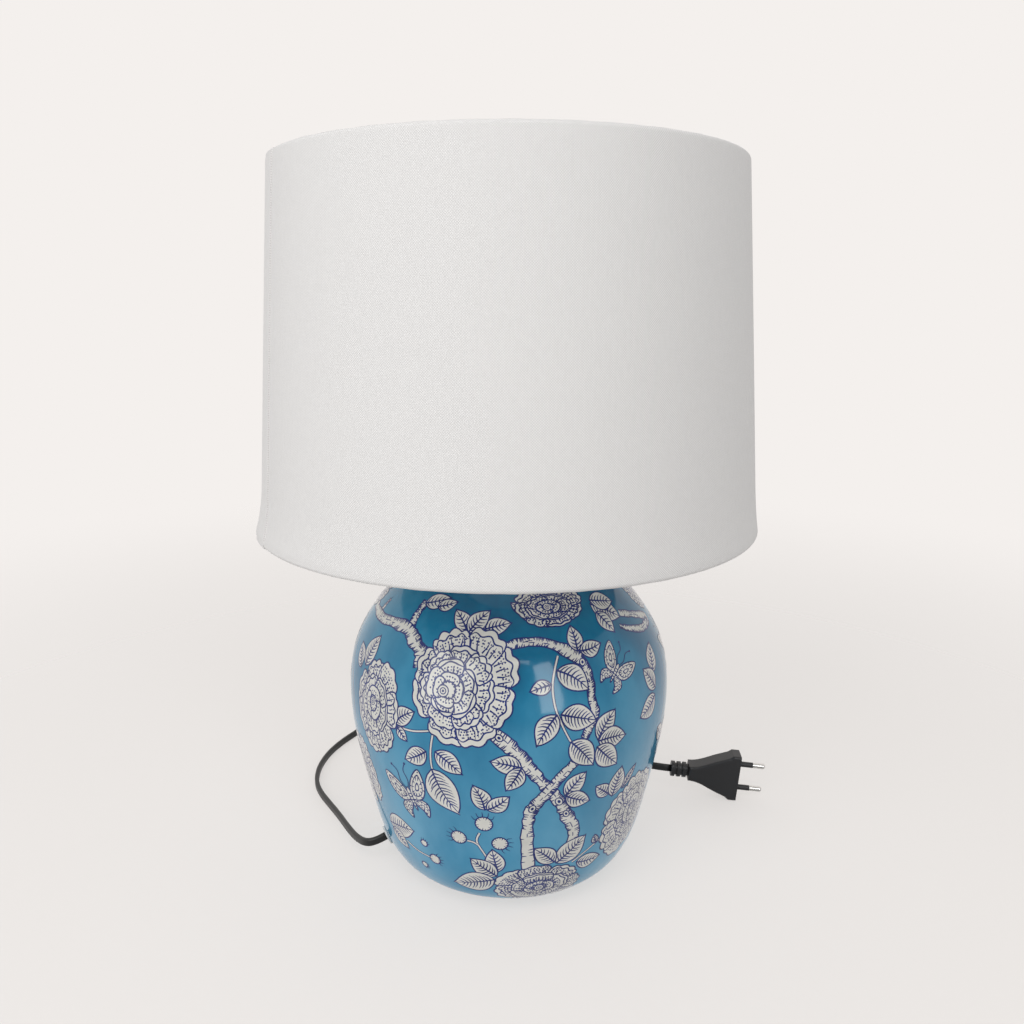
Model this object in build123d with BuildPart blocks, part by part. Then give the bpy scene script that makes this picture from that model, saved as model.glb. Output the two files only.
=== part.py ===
from build123d import *
from math import atan2, cos, degrees, pi, radians, sin, sqrt, tan
import os

# A ginger jar table lamp: a glazed ceramic jar, a tapered fabric shade, an E27 lamp
# holder with its bulb, and a flat mains cord with an inline rocker switch and a flat plug.
# Millimetres, +Z up. The origin is on the table, under the middle of the jar.

os.makedirs("parts", exist_ok=True)

# ---------------------------------------------------------------- driving dimensions
seat_gap = 0.3           # between pieces of different bodies
slip_fit = 0.1           # radial clearance of a piece that passes through another

# Felt, base cover and jar. The jar's outline is given by stations of radius and height,
# as they are on a jar of the drawn height.
jar_drawn_height = 216.0
felt_thickness = 1.5
felt_radius = 43.0
foot_radius = 46.0
foot_height = felt_thickness
heel_station = (62.5, 4.4)
lower_heel_station = (73.2, 8.4)
exit_station = (82.3, 21.0)
flank_station = (90.9, 50.0)
hip_station = (99.3, 90.0)
belly_station = (102.0, 120.0)
shoulder_station = (97.5, 150.0)
upper_shoulder_station = (84.7, 173.0)
crown_station = (66.0, 193.5)
neck_radius = 42.0
neck_height = 8.0
neck_top_height = 216.0
jar_wall = 5.0
jar_floor = 6.5
jar_roof = 6.0
jar_lip_fillet = 1.2
base_opening_radius = 34.0
cover_thickness = 3.0

# Cord and its grommet in the jar's wall.
cord_diameter = 5.4
cord_radius = cord_diameter / 2
straight_in_jar = 16.0   # behind the grommet
straight_at_switch = 15.0
straight_past_switch = 14.0
straight_at_plug = 15.0
straight_at_coil = 13.0
grommet_azimuth = 72.0   # degrees from the front, towards the left
grommet_flange_radius = 6.2
grommet_flange_thickness = 1.6
grommet_barrel_radius = 4.0
grommet_nut_radius = 6.4
grommet_nut_thickness = 2.0

# Threaded nipple that clamps the cap and the holder to the jar's roof.
nipple_radius = 5.0
nipple_bore_radius = 3.6
nipple_tail = 7.5        # below the jar's roof
nipple_into_holder = 6.5
nipple_hole_radius = 5.5 # in the jar's roof
rubber_washer = (12.0, 1.5)
steel_washer = (11.0, 1.0)
nut_across_flats = 14.0
nut_thickness = 3.5

# Vase cap, collar and lamp holder.
cap_sheet = 1.2
cap_rise = 4.0
cap_skirt_height = 6.0
cap_centre_radius = 12.0
collar_radius = 9.0
collar_height = 3.0
holder_radius = 19.5
holder_wall = 2.0
holder_cap_height = 22.0
holder_cap_neck_radius = 8.5
holder_cap_neck_height = 4.0
holder_cap_shoulder = 0.72   # share of the cap's height where its wall turns upright
holder_boss_height = 8.0
skirt_height = 34.0
skirt_bore_radius = 15.2
flange_radius = 22.5
flange_thickness = 2.0
flange_above_skirt_foot = 5.5
set_screw_radius = 1.5
set_screw_length = 3.8
set_screw_height = 2.2   # above the collar
outer_groove_count = 5
outer_groove_pitch = 3.0
outer_groove_width = 1.0
outer_groove_depth = 0.5
insert_height = 9.0
terminal_offset = 9.0
terminal_size = (6.0, 5.0, 4.0)
terminal_screw_radius = 1.25
terminal_head_radius = 2.3
terminal_head_height = 1.6
contact_height = 1.6
contact_width = 5.0
screw_shell_wall = 0.5
screw_shell_height = 17.0
shade_nut_radius = 25.0
shade_nut_height = 8.0
shade_nut_step = 2.3     # the stepped-in top of its knurled rim
knurl_count = 36
knurl_radius = 1.3

# Bulb with an E27 base and a pear-shaped glass.
bulb_cap_radius = 13.1
bulb_cap_length = 25.0
bulb_glass_radius = 30.0
bulb_length = 108.0
glass_wall = 0.8
glass_neck_radius = 12.2
bulb_contact_height = 2.0
bulb_shell_foot = 5.0    # above the bulb's contact
bulb_thread_pitch = 3.6
bulb_thread_turns = 5
stem_below_bulge = 18.0
post_above_bulge = 10.0
filament_count = 6
filament_radius = 0.9

# Shade: fabric on a stiff liner, between two wire rings.
shade_bottom_radius = 150.0
shade_top_radius = 135.0
shade_bottom_height = 226.0
shade_height = 209.0
fabric_thickness = 0.7
liner_thickness = 0.5
ring_wire_radius = 1.5
hem_sheet = 0.7
hem_proud = 0.6
hem_return = 9.0
arm_count = 3
arm_wire_radius = 1.6
arm_weld = 0.4           # how far an arm's end sinks into the bottom ring
arm_end_gap = 1.2        # from the shade nut's rim to the arm's inner end
fitter_radius = 27.0
fitter_thickness = 1.2

# Inline rocker switch.
switch_centre = (-60.0, 166.0)
switch_azimuth = -4.0
switch_length = 64.0
switch_width = 26.0
switch_height = 17.0
switch_wall = 1.8
switch_bottom_fillet = 2.0
switch_top_fillet = 2.5
switch_waist = 17.0
rocker_length = 15.0
rocker_width = 10.0
rocker_tilt = 9.0        # degrees either side of level
rocker_pin_radius = 1.0
pin_running_gap = 0.06
pivot_rise = 3.2         # of the rocker's pin above the parting line
screw_post_radius = 3.2
screw_offset = 6.5
screw_inset = 12.0       # from the switch's ends

# Coil of put-away cord, laid clockwise from its outer turn.
coil_centre = (38.0, 118.0)
coil_outer_radius = 33.0
coil_pitch = 6.0
coil_layers = 4
coil_turns_per_layer = 1.6875
coil_start_angle = 90.0
coil_tie_thickness = 0.7
coil_tie_width = 9.0
coil_tie_gap = 0.3

# Flat two-pin plug, standing on the long side of its face.
plug_face = (168.7, 54.1, 17.9)
plug_azimuth = -3.6
plug_dip = 4.9
plug_half_width = 17.65
plug_thickness = 13.7
plug_block_length = 8.0
plug_shoulder_half_width = 14.0
plug_body_length = 36.5
plug_tail_half_width = 5.6
plug_neck_length = 15.0  # from the block to where the body has drawn in
plug_length = 49.0
plug_rib_count = 3
plug_rib_size = (10.8, 9.2)
plug_tail_size = (8.6, 7.0)
pin_radius = 2.0
pin_core_radius = 1.5
pin_sleeve_radius = 1.98
pin_spacing = 18.6
pin_length = 19.0
pin_sleeve_length = 10.0
pin_root = 8.0           # how deep the pins' cores sit in the plug


# ---------------------------------------------------------------- shared geometry
def unit(azimuth, rise=0.0):
    """A unit vector at an azimuth from +X, raised by an angle, both in degrees."""
    flat = cos(radians(rise))
    return Vector(flat * cos(radians(azimuth)), flat * sin(radians(azimuth)), sin(radians(rise)))


def inset(stations, distance):
    """Points a distance inside a row of outline stations, square to their neighbours."""
    points = []
    for before, here, after in zip(stations, stations[1:], stations[2:]):
        run = (after[0] - before[0], after[1] - before[1])
        length = sqrt(run[0] ** 2 + run[1] ** 2)
        points.append((here[0] - distance * run[1] / length, here[1] + distance * run[0] / length))
    return points


def corner_radii(points):
    """The radius at each corner of a route: 0.45 of its shorter run over tan(turn/2)."""
    radii = []
    for before, here, after in zip(points, points[1:], points[2:]):
        run_in = here - before
        run_out = after - here
        half_turn = radians(run_in.get_angle(run_out)) / 2
        radii.append(0.45 * min(run_in.length, run_out.length) / tan(half_turn))
    return radii


def cord_path(name, points):
    """Straight runs joined by tangent arcs, through the points of a cord's route."""
    points = [Vector(*point) if isinstance(point, tuple) else point for point in points]
    radii = corner_radii(points)
    print(name, "corner radii", [round(radius, 1) for radius in radii])
    with BuildLine() as path:
        FilletPolyline(*points, radius=radii)
    return path.wire()


def section_plane(path):
    """The plane square to the start of a path."""
    return Plane(origin=path @ 0, z_dir=path % 0)


def report_tube(name, part, path):
    """Print a tube's volume against its section times its length."""
    ideal = pi * cord_radius ** 2 * path.length
    print(name, "length", round(path.length, 1), "volume ratio", round(part.volume / ideal, 4))


# ---------------------------------------------------------------- felt, cover and jar
with BuildPart() as foot_felt:
    with BuildSketch():
        Circle(felt_radius)
    extrude(amount=felt_thickness)
foot_felt.part.label = "foot_felt"
export_step(foot_felt.part, "parts/foot_felt.step")

with BuildPart() as bottom_cover:
    with BuildSketch(Plane.XY.offset(foot_height)):
        Circle(base_opening_radius - seat_gap)
    extrude(amount=cover_thickness)
    chamfer(bottom_cover.edges().group_by(Axis.Z)[-1], 0.5)
bottom_cover.part.label = "bottom_cover"
export_step(bottom_cover.part, "parts/bottom_cover.step")

jar_stations = [
    heel_station,
    lower_heel_station,
    exit_station,
    flank_station,
    hip_station,
    belly_station,
    shoulder_station,
    upper_shoulder_station,
    crown_station,
]
neck_foot_height = neck_top_height - neck_height
stretch_to_height = (neck_top_height - foot_height) / (jar_drawn_height - foot_height)
outline = [(foot_radius, foot_height)]
for radius, height in jar_stations:
    outline.append((radius, foot_height + (height - foot_height) * stretch_to_height))
outline.append((neck_radius, neck_foot_height))
exit_height = outline[1 + jar_stations.index(exit_station)][1]
roof_underside = neck_top_height - jar_roof
floor_top = foot_height + jar_floor
inner_neck_radius = neck_radius - jar_wall
inner_neck = (inner_neck_radius, neck_foot_height - jar_wall * 0.6)
inner_heel = (heel_station[0] - jar_wall, floor_top)

with BuildLine(Plane.XZ) as jar_outline:
    Spline(*outline)
exit_place = jar_outline.line.edge().param_at_point(Vector(exit_station[0], 0, exit_height))
exit_rise = jar_outline.line.edge().tangent_at(exit_place)
exit_dip = degrees(atan2(exit_rise.X, exit_rise.Z))
exit_normal = unit(270 - grommet_azimuth, -exit_dip)
exit_point = exit_station[0] * unit(270 - grommet_azimuth) + Vector(0, 0, exit_height)
grommet_plane = Plane(origin=exit_point, x_dir=unit(-grommet_azimuth), z_dir=exit_normal)

with BuildPart() as jar_body:
    with BuildSketch(Plane.XZ):
        with BuildLine():
            Spline(*outline)
            Polyline(
                (neck_radius, neck_foot_height),
                (neck_radius, neck_top_height),
                (0, neck_top_height),
                (0, foot_height),
                (foot_radius, foot_height),
            )
        make_face()
    revolve(axis=Axis.Z)
    fillet(jar_body.edges().filter_by(GeomType.CIRCLE).group_by(Axis.Z)[-1], jar_lip_fillet)
    with BuildSketch(Plane.XZ):
        with BuildLine():
            Spline(inner_heel, *inset(outline[1:], jar_wall), inner_neck)
            Polyline(inner_neck, (inner_neck_radius, roof_underside), (0, roof_underside), (0, floor_top), inner_heel)
        make_face()
    revolve(axis=Axis.Z, mode=Mode.SUBTRACT)
    with BuildSketch(Plane.XY.offset(foot_height)):
        Circle(base_opening_radius)
    extrude(amount=jar_floor, mode=Mode.SUBTRACT)
    with BuildSketch(Plane.XY.offset(roof_underside)):
        Circle(nipple_hole_radius)
    extrude(amount=jar_roof, mode=Mode.SUBTRACT)
    with BuildSketch(grommet_plane.offset(-jar_wall * 2)):
        Circle(grommet_barrel_radius + slip_fit)
    extrude(amount=jar_wall * 4, mode=Mode.SUBTRACT)
jar_body.part.label = "jar_body"
export_step(jar_body.part, "parts/jar_body.step")

# ---------------------------------------------------------------- grommet and its nut
nut_face = -(jar_wall + 0.6)
barrel_end = nut_face - grommet_nut_thickness - 0.6
with BuildPart() as cord_grommet:
    with BuildSketch(grommet_plane.offset(barrel_end)):
        Circle(grommet_barrel_radius)
    extrude(amount=-barrel_end)
    with BuildSketch(grommet_plane):
        Circle(grommet_flange_radius)
    extrude(amount=grommet_flange_thickness)
    flange_rim = cord_grommet.edges().filter_by(GeomType.CIRCLE).sort_by(SortBy.RADIUS)[-2:]
    fillet(flange_rim, grommet_flange_thickness * 0.4)
    with BuildSketch(grommet_plane.offset(barrel_end)):
        Circle(cord_radius + slip_fit)
    extrude(amount=grommet_flange_thickness - barrel_end, mode=Mode.SUBTRACT)
cord_grommet.part.label = "cord_grommet"
export_step(cord_grommet.part, "parts/cord_grommet.step")

with BuildPart() as grommet_nut:
    with BuildSketch(grommet_plane.offset(nut_face - grommet_nut_thickness)):
        RegularPolygon(grommet_nut_radius, 6)
        Circle(grommet_barrel_radius + slip_fit, mode=Mode.SUBTRACT)
    extrude(amount=grommet_nut_thickness)
grommet_nut.part.label = "grommet_nut"
export_step(grommet_nut.part, "parts/grommet_nut.step")

# ---------------------------------------------------------------- nipple, nut and washers
cap_top = neck_top_height + cap_sheet + cap_rise
collar_top = cap_top + collar_height
nipple_top = collar_top + nipple_into_holder
nipple_foot = roof_underside - nipple_tail

with BuildPart() as threaded_nipple:
    with BuildSketch(Plane.XY.offset(nipple_foot)):
        Circle(nipple_radius)
        Circle(nipple_bore_radius, mode=Mode.SUBTRACT)
    extrude(amount=nipple_top - nipple_foot)
    chamfer(threaded_nipple.edges().filter_by(GeomType.CIRCLE), 0.4)
threaded_nipple.part.label = "threaded_nipple"
export_step(threaded_nipple.part, "parts/threaded_nipple.step")

washer_top = roof_underside
for name, size in (("rubber_washer", rubber_washer), ("steel_washer", steel_washer)):
    washer_radius, washer_thickness = size
    with BuildPart() as washer:
        with BuildSketch(Plane.XY.offset(washer_top - washer_thickness)):
            Circle(washer_radius)
            Circle(nipple_radius + slip_fit, mode=Mode.SUBTRACT)
        extrude(amount=washer_thickness)
    washer.part.label = name
    export_step(washer.part, f"parts/{name}.step")
    washer_top -= washer_thickness

with BuildPart() as nipple_nut:
    with BuildSketch(Plane.XY.offset(washer_top - nut_thickness)):
        RegularPolygon(nut_across_flats / 2, 6, major_radius=False)
        Circle(nipple_radius + slip_fit, mode=Mode.SUBTRACT)
    extrude(amount=nut_thickness)
nipple_nut.part.label = "nipple_nut"
export_step(nipple_nut.part, "parts/nipple_nut.step")

# ---------------------------------------------------------------- vase cap and collar
cap_inner_radius = neck_radius + slip_fit
cap_outer_radius = cap_inner_radius + cap_sheet
with BuildPart() as vase_cap:
    with BuildSketch(Plane.XZ):
        with BuildLine():
            Polyline(
                (cap_inner_radius, neck_top_height),
                (cap_inner_radius, neck_top_height - cap_skirt_height),
                (cap_outer_radius + 0.8, neck_top_height - cap_skirt_height),
                (cap_outer_radius + 0.8, neck_top_height - cap_skirt_height + 1.6),
                (cap_outer_radius, neck_top_height - cap_skirt_height + 2.4),
                (cap_outer_radius, neck_top_height),
            )
            dome_outside = ThreePointArc(
                (cap_outer_radius, neck_top_height),
                (cap_outer_radius * 0.62, neck_top_height + cap_sheet + cap_rise * 0.72),
                (cap_centre_radius, cap_top),
            )
            Polyline(
                dome_outside @ 1,
                (nipple_radius + slip_fit, cap_top),
                (nipple_radius + slip_fit, cap_top - cap_sheet),
                (cap_centre_radius, cap_top - cap_sheet),
            )
            ThreePointArc(
                (cap_centre_radius, cap_top - cap_sheet),
                (cap_outer_radius * 0.6, neck_top_height + cap_rise * 0.66),
                (neck_radius - 3, neck_top_height),
            )
            Line((neck_radius - 3, neck_top_height), (cap_inner_radius, neck_top_height))
        make_face()
    revolve(axis=Axis.Z)
vase_cap.part.label = "vase_cap"
export_step(vase_cap.part, "parts/vase_cap.step")

with BuildPart() as collar:
    with BuildSketch(Plane.XY.offset(cap_top)):
        Circle(collar_radius)
        Circle(nipple_radius + slip_fit, mode=Mode.SUBTRACT)
    extrude(amount=collar_height)
    fillet(collar.edges().filter_by(GeomType.CIRCLE).group_by(SortBy.RADIUS)[-1], 1.0)
collar.part.label = "collar"
export_step(collar.part, "parts/collar.step")

# ---------------------------------------------------------------- lamp holder
skirt_foot = collar_top + holder_cap_height
skirt_top = skirt_foot + skirt_height
flange_foot = skirt_foot + flange_above_skirt_foot
flange_top = flange_foot + flange_thickness
insert_radius = holder_radius - holder_wall - slip_fit
cap_shoulder = collar_top + holder_cap_height * holder_cap_shoulder
insert_foot = cap_shoulder + slip_fit
insert_top = insert_foot + insert_height
boss_top = collar_top + holder_boss_height

with BuildPart() as holder_cap:
    with BuildSketch(Plane.XZ):
        with BuildLine():
            Polyline(
                (nipple_radius + slip_fit, collar_top),
                (holder_cap_neck_radius, collar_top),
                (holder_cap_neck_radius, collar_top + holder_cap_neck_height),
            )
            ThreePointArc(
                (holder_cap_neck_radius, collar_top + holder_cap_neck_height),
                (holder_radius * 0.84, collar_top + 8.5),
                (holder_radius, cap_shoulder),
            )
            Polyline(
                (holder_radius, cap_shoulder),
                (holder_radius, skirt_foot),
                (holder_radius - holder_wall, skirt_foot),
                (holder_radius - holder_wall, cap_shoulder),
                (holder_radius * 0.74, boss_top + 2.5),
                (nipple_radius + 3.2, boss_top),
                (nipple_radius + slip_fit, boss_top),
                (nipple_radius + slip_fit, collar_top),
            )
        make_face()
    revolve(axis=Axis.Z)
    with BuildSketch(Plane.YZ.offset(nipple_radius)):
        with Locations((0, collar_top + set_screw_height)):
            Circle(set_screw_radius + slip_fit)
    extrude(amount=holder_cap_neck_radius, mode=Mode.SUBTRACT)
holder_cap.part.label = "holder_cap"
export_step(holder_cap.part, "parts/holder_cap.step")

with BuildPart() as holder_set_screw:
    with BuildSketch(Plane.YZ.offset(nipple_radius + slip_fit)):
        with Locations((0, collar_top + set_screw_height)):
            Circle(set_screw_radius)
    extrude(amount=set_screw_length)
    with BuildSketch(Plane.YZ.offset(nipple_radius + slip_fit + set_screw_length)):
        with Locations((0, collar_top + set_screw_height)):
            Rectangle(2.4, 0.5)
    extrude(amount=-1.0, mode=Mode.SUBTRACT)
holder_set_screw.part.label = "holder_set_screw"
export_step(holder_set_screw.part, "parts/holder_set_screw.step")

with BuildPart() as holder_skirt:
    with BuildSketch(Plane.XY.offset(skirt_foot)):
        Circle(holder_radius)
    extrude(amount=skirt_height)
    with BuildSketch(Plane.XY.offset(flange_foot)):
        Circle(flange_radius)
    extrude(amount=flange_thickness)
    for groove in range(outer_groove_count):
        with BuildSketch(Plane.XY.offset(flange_top + 10 + groove * outer_groove_pitch)):
            Circle(holder_radius)
            Circle(holder_radius - outer_groove_depth, mode=Mode.SUBTRACT)
        extrude(amount=outer_groove_width, mode=Mode.SUBTRACT)
    chamfer(holder_skirt.edges().filter_by(GeomType.CIRCLE).group_by(Axis.Z)[-1], 0.8)
    with BuildSketch(Plane.XY.offset(skirt_foot)):
        Circle(insert_radius + slip_fit)
    extrude(amount=insert_top - skirt_foot, mode=Mode.SUBTRACT)
    with BuildSketch(Plane.XY.offset(skirt_foot)):
        Circle(skirt_bore_radius)
    extrude(amount=skirt_height, mode=Mode.SUBTRACT)
holder_skirt.part.label = "holder_skirt"
export_step(holder_skirt.part, "parts/holder_skirt.step")

terminal_places = ((terminal_offset, 0), (-terminal_offset, 0))
cord_recess = insert_height - 3
with BuildPart() as holder_insert:
    with BuildSketch(Plane.XY.offset(insert_foot)):
        Circle(insert_radius)
    extrude(amount=insert_height)
    with BuildSketch(Plane.XY.offset(insert_foot)):
        with Locations(*terminal_places):
            Rectangle(terminal_size[0] + 2 * slip_fit, terminal_size[1] + 2 * slip_fit)
    extrude(amount=terminal_size[2], mode=Mode.SUBTRACT)
    with BuildSketch(Plane.XY.offset(insert_foot)):
        Circle(cord_radius + 0.8)
    extrude(amount=cord_recess, mode=Mode.SUBTRACT)
holder_insert.part.label = "holder_insert"
export_step(holder_insert.part, "parts/holder_insert.step")

with BuildPart() as terminal_blocks:
    with BuildSketch(Plane.XY.offset(insert_foot)):
        with Locations(*terminal_places):
            Rectangle(terminal_size[0], terminal_size[1])
            Circle(terminal_screw_radius + slip_fit, mode=Mode.SUBTRACT)
    extrude(amount=terminal_size[2])
terminal_blocks.part.label = "terminal_blocks"
export_step(terminal_blocks.part, "parts/terminal_blocks.step")

with BuildPart() as terminal_screws:
    with BuildSketch(Plane.XY.offset(insert_foot)):
        with Locations(*terminal_places):
            Circle(terminal_screw_radius)
    extrude(amount=terminal_size[2] - 0.5)
    with BuildSketch(Plane.XY.offset(insert_foot)):
        with Locations(*terminal_places):
            Circle(terminal_head_radius)
    extrude(amount=-terminal_head_height)
    with BuildSketch(Plane.XY.offset(insert_foot - terminal_head_height)):
        with Locations(*terminal_places):
            Rectangle(4.0, 0.6)
    extrude(amount=0.8, mode=Mode.SUBTRACT)
terminal_screws.part.label = "terminal_screws"
export_step(terminal_screws.part, "parts/terminal_screws.step")

shell_radius = bulb_cap_radius + seat_gap + screw_shell_wall
with BuildPart() as screw_shell:
    with BuildSketch(Plane.XY.offset(insert_top)):
        Circle(shell_radius)
        Circle(shell_radius - screw_shell_wall, mode=Mode.SUBTRACT)
    extrude(amount=screw_shell_height)
    with BuildSketch(Plane.XY.offset(insert_top)):
        Circle(shell_radius)
        Circle(shell_radius - 3, mode=Mode.SUBTRACT)
    extrude(amount=screw_shell_wall)
screw_shell.part.label = "screw_shell"
export_step(screw_shell.part, "parts/screw_shell.step")

with BuildPart() as centre_contact:
    with BuildSketch(Plane.XZ):
        with BuildLine():
            Polyline(
                (-8.5, insert_top),
                (8.5, insert_top),
                (8.5, insert_top + 0.4),
                (4.0, insert_top + contact_height),
                (-4.0, insert_top + contact_height),
                (-8.5, insert_top + 0.4),
                close=True,
            )
        make_face()
    extrude(amount=contact_width / 2, both=True)
centre_contact.part.label = "centre_contact"
export_step(centre_contact.part, "parts/centre_contact.step")

fitter_foot = flange_top + seat_gap
fitter_top = fitter_foot + fitter_thickness
nut_foot = fitter_top + seat_gap
with BuildPart() as shade_nut:
    with BuildSketch(Plane.XY.offset(nut_foot)):
        Circle(shade_nut_radius)
        with PolarLocations(shade_nut_radius + 0.5, knurl_count):
            Circle(knurl_radius, mode=Mode.SUBTRACT)
    extrude(amount=shade_nut_height)
    with BuildSketch(Plane.XY.offset(nut_foot + shade_nut_height - shade_nut_step)):
        Circle(shade_nut_radius + shade_nut_step)
        Circle(shade_nut_radius - shade_nut_step, mode=Mode.SUBTRACT)
    extrude(amount=shade_nut_step, mode=Mode.SUBTRACT)
    with BuildSketch(Plane.XY.offset(nut_foot)):
        Circle(holder_radius + seat_gap)
    extrude(amount=shade_nut_height, mode=Mode.SUBTRACT)
shade_nut.part.label = "shade_nut"
export_step(shade_nut.part, "parts/shade_nut.step")

# ---------------------------------------------------------------- bulb
bulb_foot = insert_top + contact_height + seat_gap
bulb_cap_foot = bulb_foot + bulb_shell_foot
bulb_cap_top = bulb_foot + bulb_cap_length
bulb_top = bulb_foot + bulb_length
bulb_wide = bulb_top - bulb_glass_radius

insulator_foot = bulb_foot + bulb_contact_height
with BuildPart() as bulb_contact:
    with BuildSketch(Plane.XZ):
        with BuildLine():
            Line((0, bulb_foot), (2.5, bulb_foot))
            ThreePointArc((2.5, bulb_foot), (4.2, bulb_foot + 0.6), (5.0, insulator_foot))
            Polyline((5.0, insulator_foot), (0, insulator_foot), (0, bulb_foot))
        make_face()
    revolve(axis=Axis.Z)
bulb_contact.part.label = "bulb_contact"
export_step(bulb_contact.part, "parts/bulb_contact.step")

with BuildPart() as bulb_insulator:
    with BuildSketch(Plane.XZ):
        with BuildLine():
            Polyline(
                (0, insulator_foot),
                (6.5, insulator_foot),
                (11.0, bulb_cap_foot),
                (0, bulb_cap_foot),
                close=True,
            )
        make_face()
    revolve(axis=Axis.Z)
bulb_insulator.part.label = "bulb_insulator"
export_step(bulb_insulator.part, "parts/bulb_insulator.step")

cap_points = [(bulb_cap_radius - 2.1, bulb_cap_foot)]
for ridge in range(bulb_thread_turns):
    ridge_height = bulb_cap_foot + 0.9 + ridge * bulb_thread_pitch
    cap_points.append((bulb_cap_radius - 1.0, ridge_height))
    cap_points.append((bulb_cap_radius, ridge_height + bulb_thread_pitch * 0.35))
    cap_points.append((bulb_cap_radius - 0.2, ridge_height + bulb_thread_pitch * 0.6))
cap_points.append((bulb_cap_radius - 0.4, bulb_cap_top))
cap_inner_wall = [(radius - 0.5, height) for radius, height in reversed(cap_points)]
with BuildPart() as bulb_cap:
    with BuildSketch(Plane.XZ):
        with BuildLine():
            Polyline(*cap_points, *cap_inner_wall, close=True)
        make_face()
    revolve(axis=Axis.Z)
bulb_cap.part.label = "bulb_cap"
export_step(bulb_cap.part, "parts/bulb_cap.step")


def glass_section(inside):
    """Half of the pear-shaped glass, drawn in a given distance from its outer face."""
    ball = bulb_glass_radius - inside
    neck = glass_neck_radius - inside
    neck_foot = bulb_cap_top + 0.2 + inside
    join = radians(-42)
    with BuildSketch(Plane.XZ) as section:
        with BuildLine():
            dome = ThreePointArc(
                (0, bulb_wide + ball),
                (ball * cos(radians(24)), bulb_wide + ball * sin(radians(24))),
                (ball * cos(join), bulb_wide + ball * sin(join)),
            )
            waist = Spline(dome @ 1, (neck, neck_foot), tangents=(dome % 1, (0, -1)))
            Polyline(waist @ 1, (0, neck_foot), (0, bulb_wide + ball))
        make_face()
    return section.sketch


glass_outside = glass_section(0.0)
glass_inside = glass_section(glass_wall)
with BuildPart() as bulb_glass:
    revolve(glass_outside, axis=Axis.Z)
    revolve(glass_inside, axis=Axis.Z, mode=Mode.SUBTRACT)
bulb_glass.part.label = "bulb_glass"
export_step(bulb_glass.part, "parts/bulb_glass.step")

stem_foot = bulb_cap_top + 0.2 + glass_wall
stem_top = bulb_wide - stem_below_bulge
post_top = bulb_wide + post_above_bulge
with BuildPart() as bulb_stem:
    with BuildSketch(Plane.XZ):
        with BuildLine():
            Line((0, stem_foot), (8.0, stem_foot))
            ThreePointArc((8.0, stem_foot), (4.6, stem_foot + 6.0), (3.2, stem_top))
            Polyline((3.2, stem_top), (1.2, stem_top + 2), (1.2, post_top), (0, post_top), (0, stem_foot))
        make_face()
    revolve(axis=Axis.Z)
bulb_stem.part.label = "bulb_stem"
export_step(bulb_stem.part, "parts/bulb_stem.step")

hub_height = stem_top + 3
wire_thickness = 0.6
low_circle = 5.0
high_circle = 10.0
with BuildPart() as bulb_filaments:
    for filament in range(filament_count):
        around = 360 * filament / filament_count
        low = low_circle * unit(around) + Vector(0, 0, hub_height + wire_thickness + 0.3)
        high = high_circle * unit(around + 25) + Vector(0, 0, post_top - 0.4)
        with BuildSketch(Plane(origin=low, z_dir=high - low)):
            Circle(filament_radius)
        extrude(amount=(high - low).length)
bulb_filaments.part.label = "bulb_filaments"
export_step(bulb_filaments.part, "parts/bulb_filaments.step")

with BuildPart() as filament_wires:
    for circle_radius, wire_height in ((low_circle, hub_height), (high_circle, post_top)):
        with BuildSketch(Plane.XY.offset(wire_height)):
            Circle(circle_radius + 0.4)
            Circle(circle_radius - 0.4, mode=Mode.SUBTRACT)
            with PolarLocations((circle_radius + 1.2) / 2, filament_count // 2):
                Rectangle(circle_radius - 1.2, wire_thickness)
        extrude(amount=wire_thickness)
filament_wires.part.label = "filament_wires"
export_step(filament_wires.part, "parts/filament_wires.step")

# ---------------------------------------------------------------- shade
shade_top_height = shade_bottom_height + shade_height
shade_slope = (shade_bottom_radius - shade_top_radius) / shade_height
hem_radius = ring_wire_radius + slip_fit + hem_sheet


def shade_radius(height):
    """The fabric's outer radius at a height."""
    return shade_bottom_radius - shade_slope * (height - shade_bottom_height)


bottom_wire_height = shade_bottom_height + hem_radius
top_wire_height = shade_top_height - hem_radius
bottom_wire_circle = shade_radius(bottom_wire_height) + hem_proud - hem_radius
top_wire_circle = shade_radius(top_wire_height) + hem_proud - hem_radius
sheet_foot = bottom_wire_height + hem_radius + slip_fit
sheet_top = top_wire_height - hem_radius - slip_fit


def cone_sheet(outer_offset, thickness, foot, top):
    """A tapered sheet whose outer face lies an offset inside the shade's outer face."""
    with BuildPart() as sheet:
        with BuildSketch(Plane.XZ):
            with BuildLine():
                Polyline(
                    (shade_radius(foot) - outer_offset, foot),
                    (shade_radius(top) - outer_offset, top),
                    (shade_radius(top) - outer_offset - thickness, top),
                    (shade_radius(foot) - outer_offset - thickness, foot),
                    close=True,
                )
            make_face()
        revolve(axis=Axis.Z)
    return sheet.part


shade_fabric = cone_sheet(0, fabric_thickness, sheet_foot, sheet_top)
shade_fabric.label = "shade_fabric"
export_step(shade_fabric, "parts/shade_fabric.step")

shade_liner = cone_sheet(fabric_thickness, liner_thickness, sheet_foot, sheet_top)
shade_liner.label = "shade_liner"
export_step(shade_liner, "parts/shade_liner.step")

arm_outer = Vector(bottom_wire_circle, 0, bottom_wire_height)
arm_inner = Vector(shade_nut_radius + arm_end_gap, 0, fitter_top - fitter_thickness / 2)
arm_direction = arm_inner - arm_outer


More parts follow.
